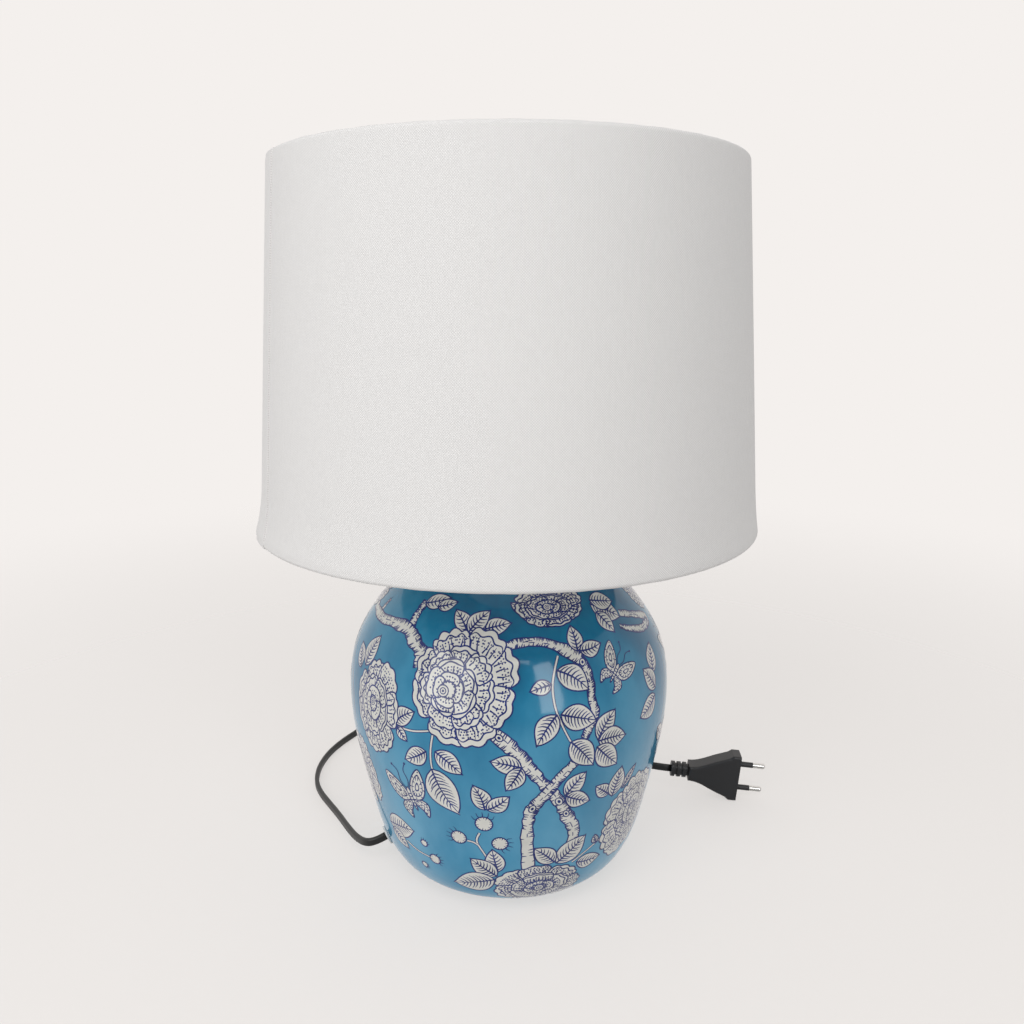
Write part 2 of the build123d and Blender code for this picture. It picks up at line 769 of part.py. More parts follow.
def arms(radius, overrun):
    """The spider's arms, from the bottom ring up to the fitter, at a given wire radius."""
    with BuildPart() as spokes:
        for arm in range(arm_count):
            turned = Axis((0, 0, 0), (0, 0, 1))
            spin = 360 * arm / arm_count + 90
            start = arm_outer.rotate(turned, spin)
            run = arm_direction.rotate(turned, spin).normalized()
            with BuildSketch(Plane(origin=start + run * (ring_wire_radius - arm_weld - overrun), z_dir=run)):
                Circle(radius)
            extrude(amount=arm_direction.length - ring_wire_radius + arm_weld + overrun)
    return spokes.part


spider_arms = arms(arm_wire_radius, 0)
arm_clearance = arms(arm_wire_radius + slip_fit, 2)

for name, circle_radius, wire_height in (
    ("bottom_ring", bottom_wire_circle, bottom_wire_height),
    ("top_ring", top_wire_circle, top_wire_height),
):
    with BuildPart() as ring:
        with BuildSketch(Plane.XZ):
            with Locations((circle_radius, wire_height)):
                Circle(ring_wire_radius)
        revolve(axis=Axis.Z)
    ring.part.label = name
    export_step(ring.part, f"parts/{name}.step")

for name, circle_radius, wire_height, side in (
    ("bottom_hem", bottom_wire_circle, bottom_wire_height, 1),
    ("top_hem", top_wire_circle, top_wire_height, -1),
):
    strip_foot = wire_height + side * (hem_radius - hem_sheet)
    strip_end = wire_height + side * (hem_radius + hem_return)
    inner_face = fabric_thickness + liner_thickness + slip_fit
    with BuildPart() as hem:
        with BuildSketch(Plane.XZ):
            with Locations((circle_radius, wire_height)):
                Circle(hem_radius)
            with BuildLine():
                Polyline(
                    (shade_radius(strip_foot) - inner_face, strip_foot),
                    (shade_radius(strip_end) - inner_face, strip_end),
                    (shade_radius(strip_end) - inner_face - hem_sheet, strip_end),
                    (shade_radius(strip_foot) - inner_face - hem_sheet, strip_foot),
                    close=True,
                )
            make_face()
            with Locations((circle_radius, wire_height)):
                Circle(ring_wire_radius + slip_fit, mode=Mode.SUBTRACT)
        revolve(axis=Axis.Z)
        if side > 0:
            add(arm_clearance, mode=Mode.SUBTRACT)
    hem.part.label = name
    export_step(hem.part, f"parts/{name}.step")

with BuildPart() as shade_fitter:
    with BuildSketch(Plane.XY.offset(fitter_foot)):
        Circle(fitter_radius)
        Circle(holder_radius + 0.8, mode=Mode.SUBTRACT)
    extrude(amount=fitter_thickness)
    add(spider_arms, mode=Mode.SUBTRACT)
shade_fitter.part.label = "shade_fitter"
export_step(shade_fitter.part, "parts/shade_fitter.step")

spider_arms.label = "spider_arms"
export_step(spider_arms, "parts/spider_arms.step")

# ---------------------------------------------------------------- cord inside the jar
insert_mouth = insert_foot + cord_recess - slip_fit
cord_inside_route = [
    exit_point + exit_normal * grommet_flange_thickness,
    exit_point - exit_normal * straight_in_jar,
    (-47.0, -20.0, 40.0),
    (-30.0, -16.0, 72.0),
    (-15.0, -6.0, 112.0),
    (-3.0, 1.5, 152.0),
    (0.0, 0.0, 192.0),
    (0.0, 0.0, insert_mouth),
]
cord_inside_path = cord_path("cord_inside", cord_inside_route)
with BuildPart() as cord_inside:
    with BuildSketch(section_plane(cord_inside_path)):
        Circle(cord_radius)
    sweep(path=cord_inside_path)
report_tube("cord_inside", cord_inside.part, cord_inside_path)
cord_inside.part.label = "cord_inside"
export_step(cord_inside.part, "parts/cord_inside.step")

# ---------------------------------------------------------------- free cord
rest = cord_radius + 0.05
switch_along = unit(switch_azimuth)
switch_middle = Vector(switch_centre[0], switch_centre[1], 0)
switch_entry = switch_middle - switch_along * (switch_length / 2) + Vector(0, 0, switch_height / 2)
switch_exit = switch_middle + switch_along * (switch_length / 2) + Vector(0, 0, switch_height / 2)

coil_lift = coil_tie_thickness + coil_tie_gap
coil_layer_rise = cord_diameter + 0.5
coil_foot = coil_lift + cord_radius
coil_top = coil_foot + (coil_layers - 1) * coil_layer_rise
coil_middle = Vector(coil_centre[0], coil_centre[1], 0)


def coil_point(angle, radius, height):
    """A point of the coil, and the heading there is clockwise seen from above."""
    return coil_middle + radius * unit(angle) + Vector(0, 0, height)


def coil_heading(angle, drift=0.0, climb=0.0):
    """The coil's direction at an angle, with its outward drift and climb per millimetre."""
    return (unit(angle - 90) + drift * unit(angle) + Vector(0, 0, climb)).normalized()


coil_drift = coil_pitch / (2 * pi * (coil_outer_radius - coil_pitch))
coil_start = coil_point(coil_start_angle, coil_outer_radius, coil_foot)
coil_start_heading = coil_heading(coil_start_angle)

plug_axis = unit(plug_azimuth, -plug_dip)
plug_tail = Vector(*plug_face) - plug_axis * plug_length

cord_to_switch_route = [
    exit_point + exit_normal * grommet_flange_thickness,
    exit_point + exit_normal * (grommet_flange_thickness + 6),
    (-91.5, -24.0, 16.0),
    (-96.5, -13.5, 13.3),
    (-105.5, 6.0, 9.6),
    (-117.0, 30.5, 5.7),
    (-129.0, 52.0, 3.5),
    (-141.0, 69.5, rest),
    (-149.5, 86.0, rest),
    (-146.0, 104.0, rest),
    (-139.0, 127.0, rest),
    (-130.5, 148.0, 3.2),
    (-120.5, 162.5, 5.4),
    switch_entry - switch_along * straight_at_switch,
    switch_entry,
]
cord_to_coil_route = [
    switch_exit,
    switch_exit + switch_along * straight_past_switch,
    (4.0, 158.5, 5.6),
    coil_start - coil_start_heading * (cord_diameter + straight_at_coil),
    coil_start - coil_start_heading * cord_diameter,
]

# The coil: layers that spiral in and out in turn, and climb where the spiral reverses.
coil_nodes = [(coil_start, coil_start_heading)]
angle = coil_start_angle
radius = coil_outer_radius
height = coil_foot
for layer in range(coil_layers):
    inward = -1 if layer % 2 == 0 else 1
    steps = 4
    for step in range(1, steps + 1):
        angle -= 360 * coil_turns_per_layer / steps
        radius += inward * coil_pitch * coil_turns_per_layer / steps
        coil_nodes.append((coil_point(angle, radius, height), coil_heading(angle, inward * coil_drift)))
    if layer < coil_layers - 1:
        turn_radius = radius + inward * coil_pitch / 4
        quarter = turn_radius * pi / 2
        half_climb = coil_layer_rise / 2
        coil_nodes.append(
            (
                coil_point(angle - 90, turn_radius, height + half_climb),
                coil_heading(angle - 90, 0, 1.5 * half_climb / quarter),
            )
        )
        angle -= 180
        height += coil_layer_rise
        coil_nodes.append((coil_point(angle, radius, height), coil_heading(angle, -inward * coil_drift)))
coil_end, _ = coil_nodes[-1]
coil_end_heading = coil_heading(angle)
coil_nodes[-1] = (coil_end, coil_end_heading)


def biarc(start, start_way, end, end_way):
    """Two arcs that leave one point and reach the next in the given directions."""
    chord = end - start
    both = start_way + end_way
    lean = 2 * (1 - start_way.dot(end_way))
    reach = (-chord.dot(both) + sqrt(chord.dot(both) ** 2 + lean * chord.dot(chord))) / lean
    first = start + start_way * reach
    last = end - end_way * reach
    middle = (first + last) * 0.5
    TangentArc(start, middle, tangent=start_way)
    TangentArc(middle, end, tangent=(last - first).normalized())


with BuildLine() as coil_path:
    Line(coil_start - coil_start_heading * cord_diameter, coil_start)
    for (start, start_way), (end, end_way) in zip(coil_nodes, coil_nodes[1:]):
        biarc(start, start_way, end, end_way)
    Line(coil_end, coil_end + coil_end_heading * cord_diameter)
coil_wire = coil_path.wire()
with BuildPart() as cord_coil:
    with BuildSketch(section_plane(coil_wire)):
        Circle(cord_radius)
    sweep(path=coil_wire)
report_tube("cord_coil", cord_coil.part, coil_wire)

samples = 1400
track = [coil_wire @ (index / samples) for index in range(samples + 1)]
apart = int(samples * 3 * cord_diameter / coil_wire.length)
least_gap = min(
    (track[one] - track[two]).length - cord_diameter
    for one in range(0, samples, 2)
    for two in range(one + apart, samples, 2)
)
print("cord_coil least gap", round(least_gap, 2), "turns", round((coil_start_angle - angle) / 360, 2))
cord_coil.part.label = "cord_coil"
export_step(cord_coil.part, "parts/cord_coil.step")

coil_leave = coil_end + coil_end_heading * cord_diameter
cord_to_plug_route = [
    coil_leave,
    coil_leave + coil_end_heading * straight_at_coil,
    (77.0, 84.5, 21.8),
    (89.0, 69.5, 22.6),
    plug_tail - plug_axis * straight_at_plug,
    plug_tail,
]
for name, route in (
    ("cord_to_switch", cord_to_switch_route),
    ("cord_to_coil", cord_to_coil_route),
    ("cord_to_plug", cord_to_plug_route),
):
    path = cord_path(name, route)
    with BuildPart() as stretch:
        with BuildSketch(section_plane(path)):
            Circle(cord_radius)
        sweep(path=path)
    report_tube(name, stretch.part, path)
    stretch.part.label = name
    export_step(stretch.part, f"parts/{name}.step")

tie_angle = 180.0
tie_inner = coil_outer_radius - coil_pitch * (coil_turns_per_layer + 0.25) - cord_radius - 0.5
tie_outer = coil_outer_radius + coil_pitch / 4 + cord_radius + 0.5
tie_plane = Plane(origin=coil_middle, x_dir=unit(tie_angle), z_dir=unit(tie_angle - 90))
tie_top = coil_top + cord_radius + 0.3
with BuildPart() as coil_tie:
    with BuildSketch(tie_plane):
        with Locations(((tie_inner + tie_outer) / 2, (tie_top + coil_lift - 0.3) / 2)):
            RectangleRounded(
                tie_outer - tie_inner + 2 * coil_tie_thickness,
                tie_top - coil_lift + 0.3 + 2 * coil_tie_thickness,
                2.5,
            )
            RectangleRounded(tie_outer - tie_inner, tie_top - coil_lift + 0.3, 1.8, mode=Mode.SUBTRACT)
    extrude(amount=coil_tie_width / 2, both=True)
coil_tie.part.label = "coil_tie"
export_step(coil_tie.part, "parts/coil_tie.step")

# ---------------------------------------------------------------- inline switch
switch_plane = Plane(origin=switch_middle, x_dir=switch_along, z_dir=(0, 0, 1))
parting = switch_height / 2
window_length = rocker_length + 1.2
window_width = rocker_width + 1.2
pivot_height = parting + pivot_rise
pivot = switch_middle + Vector(0, 0, pivot_height)
rocker_side = unit(switch_azimuth + 90)


def switch_section(height, inside):
    """The switch seen from above: full width in the middle, drawn in towards both ends."""
    half = switch_length / 2 - inside
    wide = switch_width / 2 - inside
    waist = switch_waist / 2 - inside
    with BuildSketch(switch_plane.offset(height)) as section:
        with BuildLine():
            crest = Spline((-half, waist), (0, wide), (half, waist), tangents=((1, 0.5), (1, -0.5)))
            sag = Spline((half, -waist), (0, -wide), (-half, -waist), tangents=((-1, -0.5), (-1, 0.5)))
            Line(crest @ 1, sag @ 0)
            Line(sag @ 1, crest @ 0)
        make_face()
    return section.sketch


screw_reach = switch_length / 2 - screw_inset
post_places = ((-screw_reach, screw_offset), (screw_reach, screw_offset))
cord_bed = cord_radius + slip_fit

with BuildPart() as switch_bottom_shell:
    extrude(switch_section(0, 0), amount=parting)
    fillet(switch_bottom_shell.edges().group_by(Axis.Z)[0], switch_bottom_fillet)
    extrude(switch_section(switch_wall, switch_wall), amount=parting, mode=Mode.SUBTRACT)
    with BuildSketch(switch_plane.offset(switch_wall)):
        with Locations(*post_places):
            Circle(screw_post_radius)
    extrude(amount=parting - switch_wall)
    with BuildSketch(switch_plane):
        with Locations(*post_places):
            Circle(1.5)
    extrude(amount=parting, mode=Mode.SUBTRACT)
    with BuildSketch(Plane(origin=switch_entry - switch_along, z_dir=switch_along)):
        Circle(cord_bed)
    extrude(amount=switch_length + 2, mode=Mode.SUBTRACT)
switch_bottom_shell.part.label = "switch_bottom_shell"
export_step(switch_bottom_shell.part, "parts/switch_bottom_shell.step")

with BuildPart() as switch_top_shell:
    extrude(switch_section(parting, 0), amount=switch_height - parting)
    fillet(switch_top_shell.edges().group_by(Axis.Z)[-1], switch_top_fillet)
    hollow = switch_height - parting - switch_wall
    extrude(switch_section(parting, switch_wall), amount=hollow, mode=Mode.SUBTRACT)
    with BuildSketch(switch_plane.offset(parting)):
        with Locations(*post_places):
            Circle(screw_post_radius)
    extrude(amount=switch_height - parting - switch_wall)
    with BuildSketch(switch_plane.offset(parting)):
        with Locations(*post_places):
            Circle(1.0)
    extrude(amount=switch_height - parting - switch_wall - 1, mode=Mode.SUBTRACT)
    with BuildSketch(switch_plane.offset(parting)):
        Rectangle(window_length, window_width)
    extrude(amount=switch_height, mode=Mode.SUBTRACT)
    with BuildSketch(switch_plane.offset(parting)):
        with Locations((0, window_width / 2 + 1), (0, -window_width / 2 - 1)):
            Rectangle(5, 2)
    extrude(amount=switch_height - parting - switch_wall)
    with BuildSketch(Plane(origin=pivot, z_dir=rocker_side)):
        Circle(rocker_pin_radius + pin_running_gap)
    extrude(amount=window_width / 2 + 2.5, both=True, mode=Mode.SUBTRACT)
    with BuildSketch(Plane(origin=switch_entry - switch_along, z_dir=switch_along)):
        Circle(cord_bed)
    extrude(amount=switch_length + 2, mode=Mode.SUBTRACT)
switch_top_shell.part.label = "switch_top_shell"
export_step(switch_top_shell.part, "parts/switch_top_shell.step")

with BuildPart() as switch_screws:
    with BuildSketch(switch_plane):
        with Locations(*post_places):
            Circle(1.4)
    extrude(amount=1.6)
    with BuildSketch(switch_plane.offset(1.6)):
        with Locations(*post_places):
            Circle(0.95)
    extrude(amount=switch_height - switch_wall - 3.5)
switch_screws.part.label = "switch_screws"
export_step(switch_screws.part, "parts/switch_screws.step")

# The rocker lies at one end of its throw: its left half is pressed in.
rocker_along = switch_along.rotate(Axis((0, 0, 0), rocker_side), -rocker_tilt)
rocker_plane = Plane(origin=pivot, x_dir=rocker_along, z_dir=-rocker_side)
rocker_top = switch_height - pivot_height + 1.0
with BuildPart() as switch_rocker:
    with BuildSketch(rocker_plane):
        with BuildLine():
            half = rocker_length / 2
            left = (-half + 0.9, rocker_top - 0.2)
            right = (half - 0.9, rocker_top - 0.2)
            Polyline((-2.2, -2.2), (2.2, -2.2), (half - 1.6, 1.6), (half - 0.3, 2.6), right)
            ThreePointArc(right, (0, rocker_top - 1.4), left)
            Polyline(left, (-half + 0.3, 2.6), (-half + 1.6, 1.6), (-2.2, -2.2))
        make_face()
        Circle(rocker_pin_radius + pin_running_gap, mode=Mode.SUBTRACT)
    extrude(amount=rocker_width / 2, both=True)
switch_rocker.part.label = "switch_rocker"
export_step(switch_rocker.part, "parts/switch_rocker.step")

with BuildPart() as rocker_pin:
    with BuildSketch(Plane(origin=pivot, z_dir=rocker_side)):
        Circle(rocker_pin_radius)
    extrude(amount=window_width / 2 + 1.8, both=True)
rocker_pin.part.label = "rocker_pin"
export_step(rocker_pin.part, "parts/rocker_pin.step")

with BuildPart() as switch_contacts:
    with BuildSketch(switch_plane.offset(switch_wall)):
        with Locations((-9.5, -3.5), (9.5, -3.5)):
            Rectangle(8, 3.2)
    extrude(amount=0.6)
    with BuildSketch(switch_plane.offset(switch_wall)):
        with Locations((-13.0, -3.5), (13.0, -3.5)):
            Rectangle(1, 3.2)
    extrude(amount=3.6)
switch_contacts.part.label = "switch_contacts"
export_step(switch_contacts.part, "parts/switch_contacts.step")

with BuildPart() as cord_in_switch:
    for start, way in ((switch_entry, switch_along), (switch_exit, -switch_along)):
        with BuildSketch(Plane(origin=start, z_dir=way)):
            Circle(cord_radius)
        extrude(amount=13)
cord_in_switch.part.label = "cord_in_switch"
export_step(cord_in_switch.part, "parts/cord_in_switch.step")

# ---------------------------------------------------------------- plug
plug_centre = Vector(*plug_face)
plug_up = unit(plug_azimuth, 90 - plug_dip)
plug_side = plug_up.cross(plug_axis)
flat_plane = Plane(origin=plug_centre, x_dir=plug_axis, z_dir=-plug_side)
face_plane = Plane(origin=plug_centre, x_dir=plug_up, z_dir=plug_axis)
pin_places = ((pin_spacing / 2, 0), (-pin_spacing / 2, 0))
with BuildPart() as plug_body:
    with BuildSketch(flat_plane):
        with BuildLine():
            for side in (1, -1):
                Polyline(
                    (0, 0),
                    (0, side * plug_half_width),
                    (-plug_block_length + 2.5, side * plug_half_width),
                    (-plug_block_length, side * (plug_half_width - 2)),
                    (-plug_block_length - 4, side * plug_shoulder_half_width),
                )
                Spline(
                    (-plug_block_length - 4, side * plug_shoulder_half_width),
                    (-plug_block_length - plug_neck_length, side * (plug_tail_half_width + 3.6)),
                    (-plug_body_length, side * plug_tail_half_width),
                    tangents=((-1, -side * 0.35), (-1, 0)),
                )
            Line((-plug_body_length, plug_tail_half_width), (-plug_body_length, -plug_tail_half_width))
        make_face()
    extrude(amount=plug_thickness / 2, both=True)
    long_edges = plug_body.edges().filter_by(lambda edge: abs(edge.tangent_at(0.5).dot(plug_side)) < 0.05)
    fillet(long_edges.filter_by(lambda edge: (edge.center() - plug_centre).dot(plug_axis) < -1), 1.8)
    tail_start = -plug_body_length
    rib_pitch = (plug_length - plug_body_length) / plug_rib_count
    with BuildSketch(face_plane.offset(tail_start - rib_pitch * plug_rib_count)):
        RectangleRounded(*plug_tail_size, plug_tail_size[1] * 0.45)
    extrude(amount=rib_pitch * plug_rib_count + 2)
    for rib in range(plug_rib_count):
        with BuildSketch(face_plane.offset(tail_start - rib_pitch * (rib + 1))):
            RectangleRounded(*plug_rib_size, plug_rib_size[1] * 0.42)
        extrude(amount=rib_pitch * 0.62)
    with BuildSketch(face_plane):
        with Locations(*pin_places):
            Circle(pin_core_radius + 0.05)
    extrude(amount=-pin_root, mode=Mode.SUBTRACT)
plug_body.part.label = "plug_body"
export_step(plug_body.part, "parts/plug_body.step")

with BuildPart() as plug_pins:
    with BuildSketch(face_plane.offset(-pin_root)):
        with Locations(*pin_places):
            Circle(pin_core_radius)
    extrude(amount=pin_root + pin_sleeve_length)
    with BuildSketch(face_plane.offset(pin_sleeve_length)):
        with Locations(*pin_places):
            Circle(pin_radius)
    extrude(amount=pin_length - pin_sleeve_length)
    tips = plug_pins.edges().filter_by(GeomType.CIRCLE)
    tips = tips.filter_by(lambda edge: (edge.center() - plug_centre).dot(plug_axis) > pin_length - 0.1)
    fillet(tips, pin_radius * 0.75)
plug_pins.part.label = "plug_pins"
export_step(plug_pins.part, "parts/plug_pins.step")

with BuildPart() as pin_sleeves:
    with BuildSketch(face_plane):
        with Locations(*pin_places):
            Circle(pin_sleeve_radius)
            Circle(pin_core_radius + 0.02, mode=Mode.SUBTRACT)
    extrude(amount=pin_sleeve_length)
pin_sleeves.part.label = "pin_sleeves"
export_step(pin_sleeves.part, "parts/pin_sleeves.step")

print("exit point", exit_point, "normal", exit_normal, "dip", round(exit_dip, 1))
print("plug tail", plug_tail, "coil leave", coil_leave, "switch entry", switch_entry, "exit", switch_exit)
print("heights: skirt", skirt_foot, skirt_top, "fitter", fitter_foot, "bulb", bulb_foot, bulb_top)
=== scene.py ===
# %% [markdown]
# # A ginger jar lamp
# A glazed ceramic jar carries a tapered fabric shade. This lesson dresses the plain model of the lamp:
# it adds the painted pattern, the cloth, the cord and the finishes, and then the light and the camera.
# The plain model comes in as the frame. Every new piece rides on one of the frame's bodies, so that it
# moves along when the shade is lifted or the switch is tipped.

# %% the frame
import bisect
import math
import random

import bpy
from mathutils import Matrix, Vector, geometry
from mathutils.bvhtree import BVHTree


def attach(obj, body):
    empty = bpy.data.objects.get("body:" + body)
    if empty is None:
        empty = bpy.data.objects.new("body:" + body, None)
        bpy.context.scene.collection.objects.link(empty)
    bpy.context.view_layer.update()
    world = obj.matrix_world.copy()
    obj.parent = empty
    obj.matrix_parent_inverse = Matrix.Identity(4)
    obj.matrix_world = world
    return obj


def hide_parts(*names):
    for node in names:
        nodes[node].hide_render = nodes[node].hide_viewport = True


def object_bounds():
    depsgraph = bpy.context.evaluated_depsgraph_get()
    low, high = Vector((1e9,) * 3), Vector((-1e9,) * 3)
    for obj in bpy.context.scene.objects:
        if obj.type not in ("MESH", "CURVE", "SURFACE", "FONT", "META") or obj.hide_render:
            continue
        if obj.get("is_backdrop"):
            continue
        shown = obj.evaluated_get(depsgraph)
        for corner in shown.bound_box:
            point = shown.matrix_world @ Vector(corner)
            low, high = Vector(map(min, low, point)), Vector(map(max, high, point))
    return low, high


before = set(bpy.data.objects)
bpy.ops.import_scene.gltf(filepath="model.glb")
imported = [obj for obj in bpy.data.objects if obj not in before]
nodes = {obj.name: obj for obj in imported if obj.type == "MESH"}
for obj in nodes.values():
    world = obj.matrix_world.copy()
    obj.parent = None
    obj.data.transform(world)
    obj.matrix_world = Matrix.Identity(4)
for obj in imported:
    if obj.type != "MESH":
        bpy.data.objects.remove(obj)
cad_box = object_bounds()
mm = 0.001
print("frame box", cad_box)

# %% [markdown]
# ## The camera
# The picture was taken from a little above, with the lamp near the middle. A shifted lens would keep
# upright lines upright, but the real ones lean a little, so a plain tilted camera fits better.

# %% camera
camera_data = bpy.data.cameras.new("camera")
camera_data.lens = 31.22
camera_data.sensor_width = 36
camera = bpy.data.objects.new("camera", camera_data)
camera.location = (0.002, -0.5423, 0.3571)
camera.rotation_euler = (math.radians(90 - 13.12), 0, 0)
bpy.context.scene.collection.objects.link(camera)
bpy.context.scene.camera = camera
print("camera", camera.location)

# %% [markdown]
# ## Helpers for pieces
# A piece is a mesh made from points and faces. It could also be modelled with modifiers, but the three
# pieces here (cord, paint and cloth) each follow a line or a wall that is worked out, and then points
# are the shortest way. Smooth shading suits everything that is thrown, drawn or woven.


# %% piece helper
def make_piece(name, points, faces, finishes, body):
    """A smooth mesh piece in metres that rides on a body."""
    mesh = bpy.data.meshes.new(name)
    mesh.from_pydata(points, [], faces)
    for finish in finishes:
        mesh.materials.append(finish)
    mesh.polygons.foreach_set("use_smooth", [True] * len(mesh.polygons))
    mesh.update()
    piece = bpy.data.objects.new(name, mesh)
    bpy.context.scene.collection.objects.link(piece)
    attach(piece, body)
    return piece


# %% direction helper
def unit(azimuth, rise=0.0):
    """A unit vector at an azimuth from +X, raised by an angle, both in degrees."""
    turn, lift = math.radians(azimuth), math.radians(rise)
    return Vector((math.cos(lift) * math.cos(turn), math.cos(lift) * math.sin(turn), math.sin(lift)))


print("an eighth turn gives", unit(45))

# %% [markdown]
# ## The cord
# The lamp's cord is a flat twin cord that stands on its edge. It leaves the jar low on the left, runs
# back round the jar to the switch, is coiled behind the jar and comes out at the right to the plug.
# Its line could be many points along straight runs and arcs, but that looks like bent wire. A NURBS
# spline pulled along by a few given points bends as a soft cord does. All points are millimetres.

# %% where the cord's ends and switch are
exit_point = Vector((-78.272, -25.432, 21.0))
exit_way = Vector((-0.8676, -0.2819, -0.4097))
switch_way = unit(-4)
switch_middle = Vector((-60, 166, 8.5))
plug_way = unit(-3.6, -4.9)
plug_face = Vector((168.7, 54.1, 17.9))
plug_tail = plug_face - plug_way * 49
rest = 2.75
print("the plug's tail is at", plug_tail)

# %% route from the jar to the switch
route = [
    exit_point + exit_way * 1.6,
    exit_point + exit_way * 7.6,
    (-92.5, -27.5, 15.6),
    (-100.5, -17.5, 12.4),
    (-108.5, -3.5, 10.0),
    (-120.5, 20.0, 6.8),
    (-131.5, 39.0, 4.6),
    (-140.5, 54.5, 3.2),
    (-146.6, 69.0, rest),
    (-149.2, 84.0, rest),
    (-149.2, 99.0, rest),
    (-146.0, 117.5, rest),
    (-139.0, 135.5, rest),
    (-130.0, 150.5, 3.2),
    (-120.5, 162.5, 5.4),
    switch_middle - switch_way * 47,
    switch_middle - switch_way * 32,
    switch_middle + switch_way * 32,
    switch_middle + switch_way * 46,
    (4.0, 158.5, 5.6),
]

print(len(route), "points to the switch and past it")

# %% [markdown]
# The rest of a cord is sold coiled. Each of the coil's four layers winds inward or outward by one cord's
# width a turn, and then climbs to the next layer. The points stand a little outside the coil's radius,
# because the spline cuts inside them.

# %% route round the coil
coil_middle = Vector((38.0, 118.0, 0))
coil_height = 3.7
coil_radius = 33.0
coil_angle = 90.0
coil_step = 22.5
coil_pitch = 6.0
layer_rise = 5.9
layers = 4
layer_steps, climb_steps = 27, 8
turn_steps = 360 / coil_step
fuller = 1.0 / math.cos(math.radians(coil_step / 2))
route.append(coil_middle + Vector((-18.4, coil_radius, coil_height)))
route.append(coil_middle + Vector((-5.4, coil_radius, coil_height)))
for layer in range(layers):
    inward = -1 if layer % 2 == 0 else 1
    for step in range(layer_steps):
        radius = coil_radius + inward * coil_pitch * step / turn_steps
        if layer or step > 1:
            spot = radius * fuller * unit(coil_angle) + Vector((0, 0, coil_height))
            route.append(coil_middle + spot)
        coil_angle -= coil_step
    coil_radius += inward * coil_pitch * layer_steps / turn_steps
    if layer == layers - 1:
        break
    for step in range(climb_steps):
        share = step / climb_steps
        radius = coil_radius + inward * coil_pitch / 4 * math.sin(math.pi * share)
        climb = layer_rise * (3 * share ** 2 - 2 * share ** 3)
        spot = radius * fuller * unit(coil_angle) + Vector((0, 0, coil_height + climb))
        route.append(coil_middle + spot)
        coil_angle -= coil_step
    coil_height += layer_rise
print("the coil's top turn lies at", round(coil_height, 1), "mm")

# %% route from the coil to the plug
coil_leave = coil_middle + Vector((33.0, -5.4, coil_height))
route += [
    coil_leave,
    coil_leave + Vector((0, -13, 0)),
    (77.0, 84.5, 21.8),
    (89.0, 69.5, 22.6),
    plug_tail - plug_way * 15,
    plug_tail,
]
print(len(route), "points on the cord's route")

# %% [markdown]
# A NURBS curve of order 3 bends smoothly at every point of the route. Its order is set after its points,
# because set before, Blender leaves it at order 2, which is straight runs. The curve is then turned into
# a mesh, whose points the cord's section follows.


# %% the cord's line
def spline_line(points):
    """The points that a NURBS spline through a route gives."""
    curve = bpy.data.curves.new("cord_line", "CURVE")
    curve.dimensions = "3D"
    spline = curve.splines.new("NURBS")
    spline.points.add(len(points) - 1)
    for control, point in zip(spline.points, points):
        control.co = (point[0] * mm, point[1] * mm, point[2] * mm, 1)
    spline.order_u = 3
    spline.use_endpoint_u = True
    spline.resolution_u = 6
    line = bpy.data.objects.new("cord_line", curve)
    mesh = bpy.data.meshes.new_from_object(line)
    found = [vertex.co.copy() for vertex in mesh.vertices]
    bpy.data.objects.remove(line)
    bpy.data.curves.remove(curve)
    bpy.data.meshes.remove(mesh)
    return found


cord_line = spline_line(route)
cord_length = sum((b - a).length for a, b in zip(cord_line, cord_line[1:]))
print("cord length", round(cord_length, 3), "m in", len(cord_line), "points")

# %% [markdown]
# A bevel would give the curve a round section. This cord is two insulated wires side by side with a
# groove between, so its own outline is set upright at every point of the line and joined into a tube.


# %% the cord's section
def twin_section(half_height, half_width, groove):
    """The outline of a flat twin cord: two round wires side by side, with a groove between."""
    outline = []
    for index in range(28):
        turn = 2 * math.pi * index / 28
        high = half_height - half_width
        side = math.cos(turn) * half_width
        up = math.sin(turn) * half_width + math.copysign(high, math.sin(turn))
        if abs(math.sin(turn)) < 1e-6:
            up = 0
            side = math.copysign(half_width - groove, math.cos(turn))
        outline.append((side, up))
    return outline


cord_width, cord_depth, cord_groove = 5.4, 3.3, 0.3
cord_section = twin_section(cord_width / 2 * mm, cord_depth / 2 * mm, cord_groove * mm)
print("the cord is", cord_width, "by", cord_depth, "mm, and its outline has", len(cord_section), "points")


# %% a tube along a line
def tube_along(line, outline):
    """Points and faces of a tube whose outline stands upright all along a line."""
    points, faces = [], []
    count = len(outline)
    for index, here in enumerate(line):
        ahead = line[min(index + 1, len(line) - 1)] - line[max(index - 1, 0)]
        side = ahead.cross(Vector((0, 0, 1))).normalized()
        up = side.cross(ahead).normalized()
        points += [here + side * a + up * b for a, b in outline]
        if index:
            low = (index - 1) * count
            for k in range(count):
                nxt = (k + 1) % count
                faces.append((low + k, low + nxt, low + count + nxt, low + count + k))
    faces.append(tuple(reversed(range(count))))
    faces.append(tuple(range(len(points) - count, len(points))))
    return points, faces


cord_points, cord_faces = tube_along(cord_line, cord_section)
print("the cord's tube has", len(cord_faces), "faces")

# %% [markdown]
# ## Finishes
# Each finish is a Principled surface. A flat colour looks like plastic on everything, and a picture of
# the real stuff would fit only one size, so each finish gets a texture made from noise, in metres.


